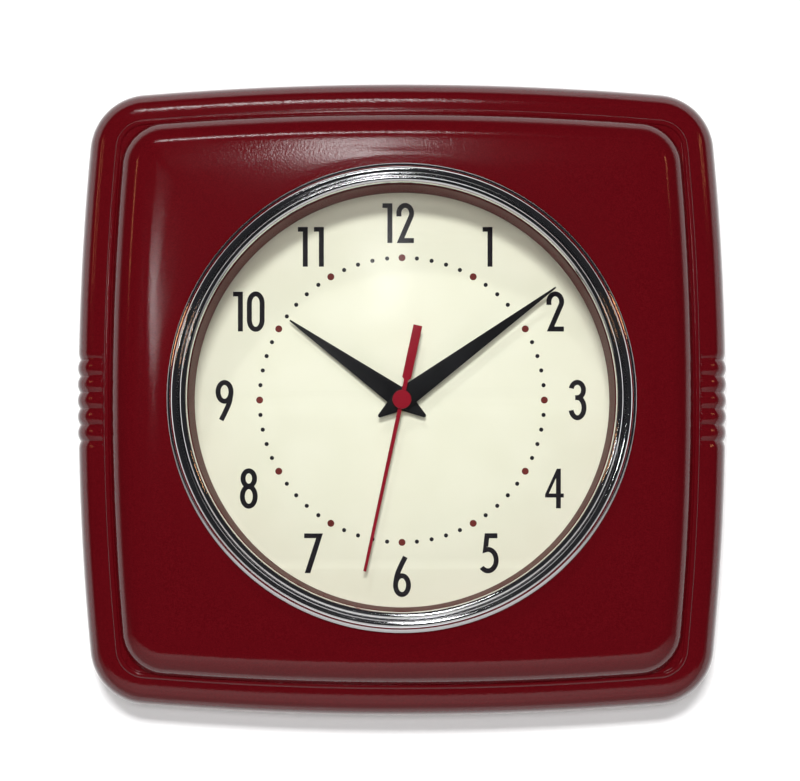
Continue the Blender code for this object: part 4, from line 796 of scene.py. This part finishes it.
def make_dial():
    """A disc with a hole for the hands and one for each of its screws."""
    outlines = [circle(DIAL_RADIUS, DISC_STEPS), circle(DIAL_BORE, BORE_STEPS)]
    for number in range(1, 5):
        low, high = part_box(f"dial_screw_{number}")
        place = ((low.x + high.x) / 2, (low.z + high.z) / 2 - AXIS[2])
        outlines.append(circle(DIAL_SCREW_BORE, BORE_STEPS // 2, place))
    mesh = plate_mesh("dial", outlines, DIAL_BACK, DIAL_FRONT, DIAL_EDGE)
    add_piece("dial", mesh, LOOKS["dial_cream"], replaces=["dial_plate"])


# Numerals and dots. Each digit is drawn in millimetres round its own middle.


def stroke(points, closed=False, width=STROKE):
    """A flat ribbon of even width along a path, with its corners mitred."""
    count = len(points)
    left = []
    right = []
    for i, point in enumerate(points):
        before = points[i - 1] if i or closed else None
        after = points[(i + 1) % count] if i < count - 1 or closed else None
        a = (point - before).normalized() if before is not None else None
        b = (after - point).normalized() if after is not None else None
        a = a or b
        b = b or a
        normal_a = Vector((-a.y, a.x))
        normal_b = Vector((-b.y, b.x))
        middle = (normal_a + normal_b).normalized()
        reach = width / 2 / middle.dot(normal_a)
        left.append(point + middle * reach)
        right.append(point - middle * reach)
    low = DIAL_FRONT + INK_LIFT
    if closed:
        outer, inner = (left, right) if area(left) > area(right) else (right, left)
        return plate_mesh("stroke", [outer, inner], low, low + INK_THICKNESS)
    return plate_mesh("stroke", [left + right[::-1]], low, low + INK_THICKNESS)


def area(points):
    """The area inside a closed outline."""
    return abs(sum(a.x * b.y - b.x * a.y for a, b in zip(points, points[1:] + points[:1]))) / 2


def flat(outlines):
    """A filled shape; an outline inside another is a hole."""
    low = DIAL_FRONT + INK_LIFT
    scaled = [mm_points(points) for points in outlines]
    return plate_mesh("flat", scaled, low, low + INK_THICKNESS)


def path_arc(centre, radii, start, end, steps=20):
    return [p * MM for p in arc(centre, radii, start, end, steps)]


def digit_0():
    top = path_arc((0.0, 3.1), (2.38, 3.5), 0.0, 180.0, 28)
    low = path_arc((0.0, -3.1), (2.38, 3.5), 180.0, 360.0, 28)
    return [stroke(top + low, closed=True)]


def digit_1():
    shape = [(-1.85, 7.4), (1.85, 7.4), (1.85, -7.4), (0.0, -7.4), (0.0, 5.65), (-1.85, 5.65)]
    return [flat([shape])]


def digit_2():
    top = path_arc((0.0, 3.7), (2.38, 2.9), 196.0, -22.0, 30)
    return [stroke(mm_points([(-2.36, 2.5)]) + top[1:] + mm_points([(-1.75, -6.5), (3.25, -6.5)]))]


def digit_3():
    upper = path_arc((-0.1, 3.75), (2.3, 2.85), 168.0, -90.0, 30)
    lower = path_arc((-0.05, -2.85), (2.45, 3.75), 90.0, -165.0, 34)
    bar = mm_points([(-0.9, 0.9), (0.3, 0.9)])
    return [stroke(upper), stroke(lower), stroke(bar)]


def digit_4():
    outer = [(0.9, 7.4), (2.4, 7.4), (2.4, -1.85), (3.5, -1.85), (3.5, -3.35), (2.4, -3.35)]
    outer += [(2.4, -7.4), (0.6, -7.4), (0.6, -3.35), (-3.5, -3.35), (-3.5, -2.2)]
    hole = [(-2.05, -1.85), (0.6, -1.85), (0.6, 3.9)]
    return [flat([outer, hole])]


def digit_5():
    bowl = path_arc((-0.65, -2.55), (3.1, 4.0), 105.0, -138.0, 34)
    return [stroke(mm_points([(2.9, 6.55), (-1.0, 6.55), (-1.6, 1.25)]) + bowl[1:])]


def digit_6(turn_over=False):
    """A round bowl under a leg that leans to the top right; half a turn makes the nine of it."""
    bowl = path_arc((0.0, -3.05), (2.42, 3.5), 0.0, 360.0, 40)[:-1]
    leg = spline_points(mm_points([(1.25, 7.5), (-0.35, 4.3), (-1.75, 0.95), (-2.42, -2.6)]), 8)
    turn = Matrix.Rotation(math.pi if turn_over else 0.0, 2)
    return [stroke([turn @ p for p in bowl], closed=True), stroke([turn @ p for p in leg])]


def digit_7():
    shape = [(-3.5, 7.4), (3.5, 7.4), (-1.2, -7.4), (-3.3, -7.4), (0.95, 5.65), (-3.5, 5.65)]
    return [flat([shape])]


def digit_8():
    upper = path_arc((0.0, 3.75), (2.15, 2.85), 0.0, 360.0, 40)[:-1]
    lower = path_arc((0.0, -2.95), (2.4, 3.65), 0.0, 360.0, 44)[:-1]
    return [stroke(upper, closed=True), stroke(lower, closed=True)]


def digit_9():
    return digit_6(turn_over=True)


# How each digit is drawn, its width, and the space between the digits of a number, in millimetres
DIGITS = {
    "0": (digit_0, 6.6),
    "1": (digit_1, 3.7),
    "2": (digit_2, 6.6),
    "3": (digit_3, 6.6),
    "4": (digit_4, 7.0),
    "5": (digit_5, 6.8),
    "6": (digit_6, 6.6),
    "7": (digit_7, 7.0),
    "8": (digit_8, 6.6),
    "9": (digit_9, 6.6),
}
DIGIT_SPACE = {"11": 2.3, "12": 1.5, "10": 1.5}


def numeral_mesh(hour):
    """The digits of one hour, side by side and upright on the circle of numerals."""
    text = str(hour)
    space = DIGIT_SPACE.get(text, 0.0)
    width = sum(DIGITS[c][1] for c in text) + space * (len(text) - 1)
    centre = polar(90.0 - 30.0 * hour, NUMERAL_RADIUS) + Vector((NUMERAL_NUDGE.get(hour, 0.0), 0.0))
    left = -width / 2
    meshes = []
    for c in text:
        draw, wide = DIGITS[c]
        mesh = united(f"digit_{c}", draw())
        mesh.transform(Matrix.Translation((centre.x + (left + wide / 2) * MM, centre.y, 0.0)))
        meshes.append(mesh)
        left += wide + space
    return joined(f"numeral_{hour}", meshes)


def dot_mesh(angle, radius, steps):
    """A printed dot, slightly domed."""
    low = DIAL_FRONT + INK_LIFT
    profile = [Vector((0.0, low + INK_THICKNESS)), Vector((radius * 0.8, low + INK_THICKNESS))]
    profile += [Vector((radius, low + INK_THICKNESS / 2)), Vector((radius, low)), Vector((0.0, low))]
    mesh = turned("dot", profile, steps)
    mesh.transform(Matrix.Translation((*polar(angle, DOT_CIRCLE), 0.0)))
    return mesh


def make_print():
    """The numerals, the dots of the hours and the smaller dots of the minutes between them."""
    numerals = joined("numerals", [numeral_mesh(hour) for hour in range(1, 13)])
    add_piece("numerals", numerals, LOOKS["ink_black"])
    hours = [dot_mesh(30.0 * i, HOUR_DOT_RADIUS, HOUR_DOT_STEPS) for i in range(12)]
    add_piece("hour_dots", joined("hour_dots", hours), LOOKS["ink_red"])
    between = [6.0 * i for i in range(60) if i % 5]
    minutes = [dot_mesh(angle, MINUTE_DOT_RADIUS, MINUTE_DOT_STEPS) for angle in between]
    add_piece("minute_dots", joined("minute_dots", minutes), LOOKS["ink_black"])


# Hands


def kite(length):
    """A hand that tapers from the hub to its tip, and more quickly to a narrow round tail."""
    nose = HAND_TIP_HALF_WIDTH
    tail = HAND_TAIL_HALF_WIDTH
    left = [Vector((-nose, length)), Vector((-HAND_HALF_WIDTH, 0.0))]
    end = arc((0.0, tail - HAND_TAIL), (tail, tail), 205.0, 335.0, 8)
    return [Vector((nose, length)), *left, *end, Vector((HAND_HALF_WIDTH, 0.0))]


def make_hand(node, length, bore, angle, body):
    """A kite-shaped hand in place of a CAD hand, pointing at an angle clockwise from the top."""
    low, high = depths(node)
    mesh = plate_mesh(node, [kite(length), circle(bore, BORE_STEPS)], low, high, HAND_BEVEL)
    name = node.replace("hand", "pointer")
    add_piece(name, mesh, LOOKS["hand_black"], body, [node], -angle)


def make_second_hand():
    """A needle, a boss round the arbor, a narrow neck and a broad counterweight bar."""
    neck = NECK_HALF_WIDTH
    bar = COUNTERWEIGHT_HALF_WIDTH
    boss = BOSS_HALF_WIDTH
    shoulder = NECK_LENGTH + bar - neck
    right = [
        (NEEDLE_TIP_HALF_WIDTH, SECOND_HAND_LENGTH),
        (NEEDLE_HALF_WIDTH, boss),
        (boss, NEEDLE_HALF_WIDTH),
        (boss, -neck),
        (neck, -boss),
        (neck, -NECK_LENGTH),
        (bar, -shoulder),
        (bar, -COUNTERWEIGHT_LENGTH),
    ]
    outline = right + [(-x, y) for x, y in reversed(right)]
    low, high = depths("second_hand")
    mesh = plate_mesh("sweep", [outline, circle(SECOND_BORE, BORE_STEPS)], low, high, HAND_BEVEL)
    look = LOOKS["hand_red"]
    add_piece("sweep_pointer", mesh, look, SECOND_BODY, ["second_hand"], -SECOND_ANGLE)


def make_centre_button():
    """A round cap over the second hand, with a hollow stem down to the arbor."""
    low, top = depths("second_hand_hub")
    cap = depths("second_hand")[1] + BUTTON_LIFT
    profile = [Vector((0.0, top)), Vector((BUTTON_RADIUS - BUTTON_STEM, top))]
    edge_centre = (BUTTON_RADIUS - BUTTON_EDGE, top - BUTTON_EDGE)
    profile += arc(edge_centre, (BUTTON_EDGE, BUTTON_EDGE), 90.0, 0.0, 6)
    profile += [Vector((BUTTON_RADIUS, cap)), Vector((BUTTON_STEM, cap)), Vector((BUTTON_STEM, low))]
    profile += [Vector((BUTTON_BORE, low)), Vector((BUTTON_BORE, cap)), Vector((0.0, cap))]
    hub = turned("button", profile, BUTTON_STEPS)
    add_piece("centre_button", hub, LOOKS["hand_red"], SECOND_BODY, ["second_hand_hub"])


# Wall, floor, room, lights and camera


def stage_plane(name, points, material):
    """A flat part of the room, through four points."""
    mesh = bpy.data.meshes.new(name)
    mesh.from_pydata(points, [], [(0, 1, 2, 3)])
    mesh.materials.append(material)
    thing = bpy.data.objects.new(name, mesh)
    bpy.context.scene.collection.objects.link(thing)
    return thing


def make_wall_paint():
    """White paint that is clear from behind, so that the back of the clock can be seen."""
    look = Look("wall_white").set(base_color=(0.97, 0.97, 0.97), roughness=0.9, specular_ior_level=0.0)
    look.set(emission_color=(1.0, 1.0, 1.0), emission_strength=0.07)
    tree = look.tree
    clear = tree.nodes.new("ShaderNodeBsdfTransparent")
    side = tree.nodes.new("ShaderNodeNewGeometry")
    mix = tree.nodes.new("ShaderNodeMixShader")
    tree.links.new(side.outputs["Backfacing"], mix.inputs["Fac"])
    tree.links.new(look.shader.outputs["BSDF"], mix.inputs[1])
    tree.links.new(clear.outputs["BSDF"], mix.inputs[2])
    tree.links.new(mix.outputs["Shader"], tree.nodes["Material Output"].inputs["Surface"])
    return look.material


def make_wall():
    """The white wall that the clock hangs on, which neither shades it nor reflects light on it."""
    half = WALL_HALF_WIDTH
    points = [(-half, WALL_GAP, FLOOR_LEVEL), (half, WALL_GAP, FLOOR_LEVEL)]
    points += [(half, WALL_GAP, WALL_TOP), (-half, WALL_GAP, WALL_TOP)]
    wall = stage_plane("wall", points, make_wall_paint())
    wall.visible_diffuse = False
    wall.visible_shadow = False


def make_floor():
    """A pale floor, well below the clock."""
    look = Look("floor_pale").set(base_color=(0.66, 0.65, 0.64), roughness=0.7, specular_ior_level=0.2)
    far = FLOOR_REACH
    points = [(-far, -FLOOR_FRONT, FLOOR_LEVEL), (far, -FLOOR_FRONT, FLOOR_LEVEL)]
    points += [(far, far, FLOOR_LEVEL), (-far, far, FLOOR_LEVEL)]
    stage_plane("floor", points, look.material)


ROOM_IN_FRONT = (0.020, 0.020, 0.022)
ROOM_BEHIND = (0.50, 0.50, 0.50)
ROOM_SEEN = (0.93, 0.93, 0.93)
ROOM_EDGE = (-0.10, 0.15)


def make_world():
    """Dim in front of the clock, bright beside and behind it, and even where the camera sees it."""
    world = bpy.data.worlds.new("room")
    bpy.context.scene.world = world
    world.use_nodes = True
    tree = world.node_tree
    background = tree.nodes["Background"]
    background.inputs["Color"].default_value = (*ROOM_IN_FRONT, 1.0)
    behind = tree.nodes.new("ShaderNodeBackground")
    behind.inputs["Color"].default_value = (*ROOM_BEHIND, 1.0)
    seen = tree.nodes.new("ShaderNodeBackground")
    seen.inputs["Color"].default_value = (*ROOM_SEEN, 1.0)
    direction = tree.nodes.new("ShaderNodeTexCoord")
    split = tree.nodes.new("ShaderNodeSeparateXYZ")
    edge = tree.nodes.new("ShaderNodeMapRange")
    edge.inputs["From Min"].default_value = ROOM_EDGE[0]
    edge.inputs["From Max"].default_value = ROOM_EDGE[1]
    path = tree.nodes.new("ShaderNodeLightPath")
    sides = tree.nodes.new("ShaderNodeMixShader")
    whole = tree.nodes.new("ShaderNodeMixShader")
    links = tree.links
    links.new(direction.outputs["Generated"], split.inputs["Vector"])
    links.new(split.outputs["Y"], edge.inputs["Value"])
    links.new(edge.outputs["Result"], sides.inputs["Fac"])
    links.new(background.outputs["Background"], sides.inputs[1])
    links.new(behind.outputs["Background"], sides.inputs[2])
    links.new(path.outputs["Is Camera Ray"], whole.inputs["Fac"])
    links.new(sides.outputs["Shader"], whole.inputs[1])
    links.new(seen.outputs["Background"], whole.inputs[2])
    links.new(whole.outputs["Shader"], tree.nodes["World Output"].inputs["Surface"])


WHITE = (1.0, 1.0, 1.0)
WARM = (1.0, 0.48, 0.20)


def add_light(name, azimuth, elevation, distance, size, power, colour=WHITE, gloss=False):
    """A lamp aimed at the clock that either lights its surfaces or, with gloss, only shines in them.

    Azimuth 0 is straight in front of the clock and grows to the right.
    """
    light = bpy.data.lights.new(name, "AREA")
    light.shape = "RECTANGLE"
    light.size, light.size_y = size
    light.energy = power
    light.color = colour
    thing = bpy.data.objects.new(name, light)
    turn = math.radians(azimuth)
    rise = math.radians(elevation)
    way = Vector((math.sin(turn) * math.cos(rise), -math.cos(turn) * math.cos(rise), math.sin(rise)))
    thing.location = Vector((0.0, -PANEL_DEPTH, AXIS[2])) + way * distance
    thing.rotation_mode = "QUATERNION"
    thing.rotation_quaternion = way.to_track_quat("Z", "Y")
    thing.visible_camera = False
    thing.visible_glossy = gloss
    thing.visible_diffuse = not gloss
    bpy.context.scene.collection.objects.link(thing)


def make_lights():
    """Three lamps light the clock, and the others are only seen as reflections in its gloss."""
    add_light("key", -1.0, 16.5, 1.5, (0.26, 0.13), 15.6)
    add_light("high", -10.0, 44.0, 1.2, (0.10, 0.06), 2.2)
    add_light("front", 0.0, 3.0, 1.5, (0.34, 0.24), 7.4)
    add_light("streak", -2.6, 20.0, 1.6, (0.085, 0.32), 1.15, gloss=True)
    add_light("line", -10.0, 40.0, 1.5, (0.50, 0.045), 1.6, gloss=True)
    add_light("left_soft", -16.0, 6.0, 1.6, (0.05, 0.05), 0.26, gloss=True)
    add_light("left_warm", -52.0, 14.0, 1.3, (0.03, 0.26), 0.30, WARM, gloss=True)
    add_light("right_warm", 50.0, 18.0, 1.3, (0.03, 0.20), 0.25, WARM, gloss=True)


def make_camera():
    """A long lens, level and square to the wall, with its picture shifted onto the clock."""
    data = bpy.data.cameras.new("camera")
    data.lens = CAMERA_LENS
    data.sensor_width = CAMERA_SENSOR
    data.shift_x, data.shift_y = CAMERA_SHIFT
    camera = bpy.data.objects.new("camera", data)
    camera.location = CAMERA_PLACE
    camera.rotation_euler = (math.pi / 2, 0.0, 0.0)
    bpy.context.scene.collection.objects.link(camera)
    bpy.context.scene.camera = camera
    bpy.context.scene.view_settings.view_transform = "Standard"


def corners(box):
    """A box as two lists of numbers."""
    return [list(map(float, corner)) for corner in box]


dress_cad_nodes()
make_case()
make_ring()
make_lens()
make_dial()
make_print()
make_hand("hour_hand", HOUR_HAND_LENGTH, HOUR_BORE, HOUR_ANGLE, "hour_hand_body")
make_hand("minute_hand", MINUTE_HAND_LENGTH, MINUTE_BORE, MINUTE_ANGLE, "minute_hand_body")
make_second_hand()
make_centre_button()
make_wall()
make_floor()
make_world()
make_lights()
make_camera()
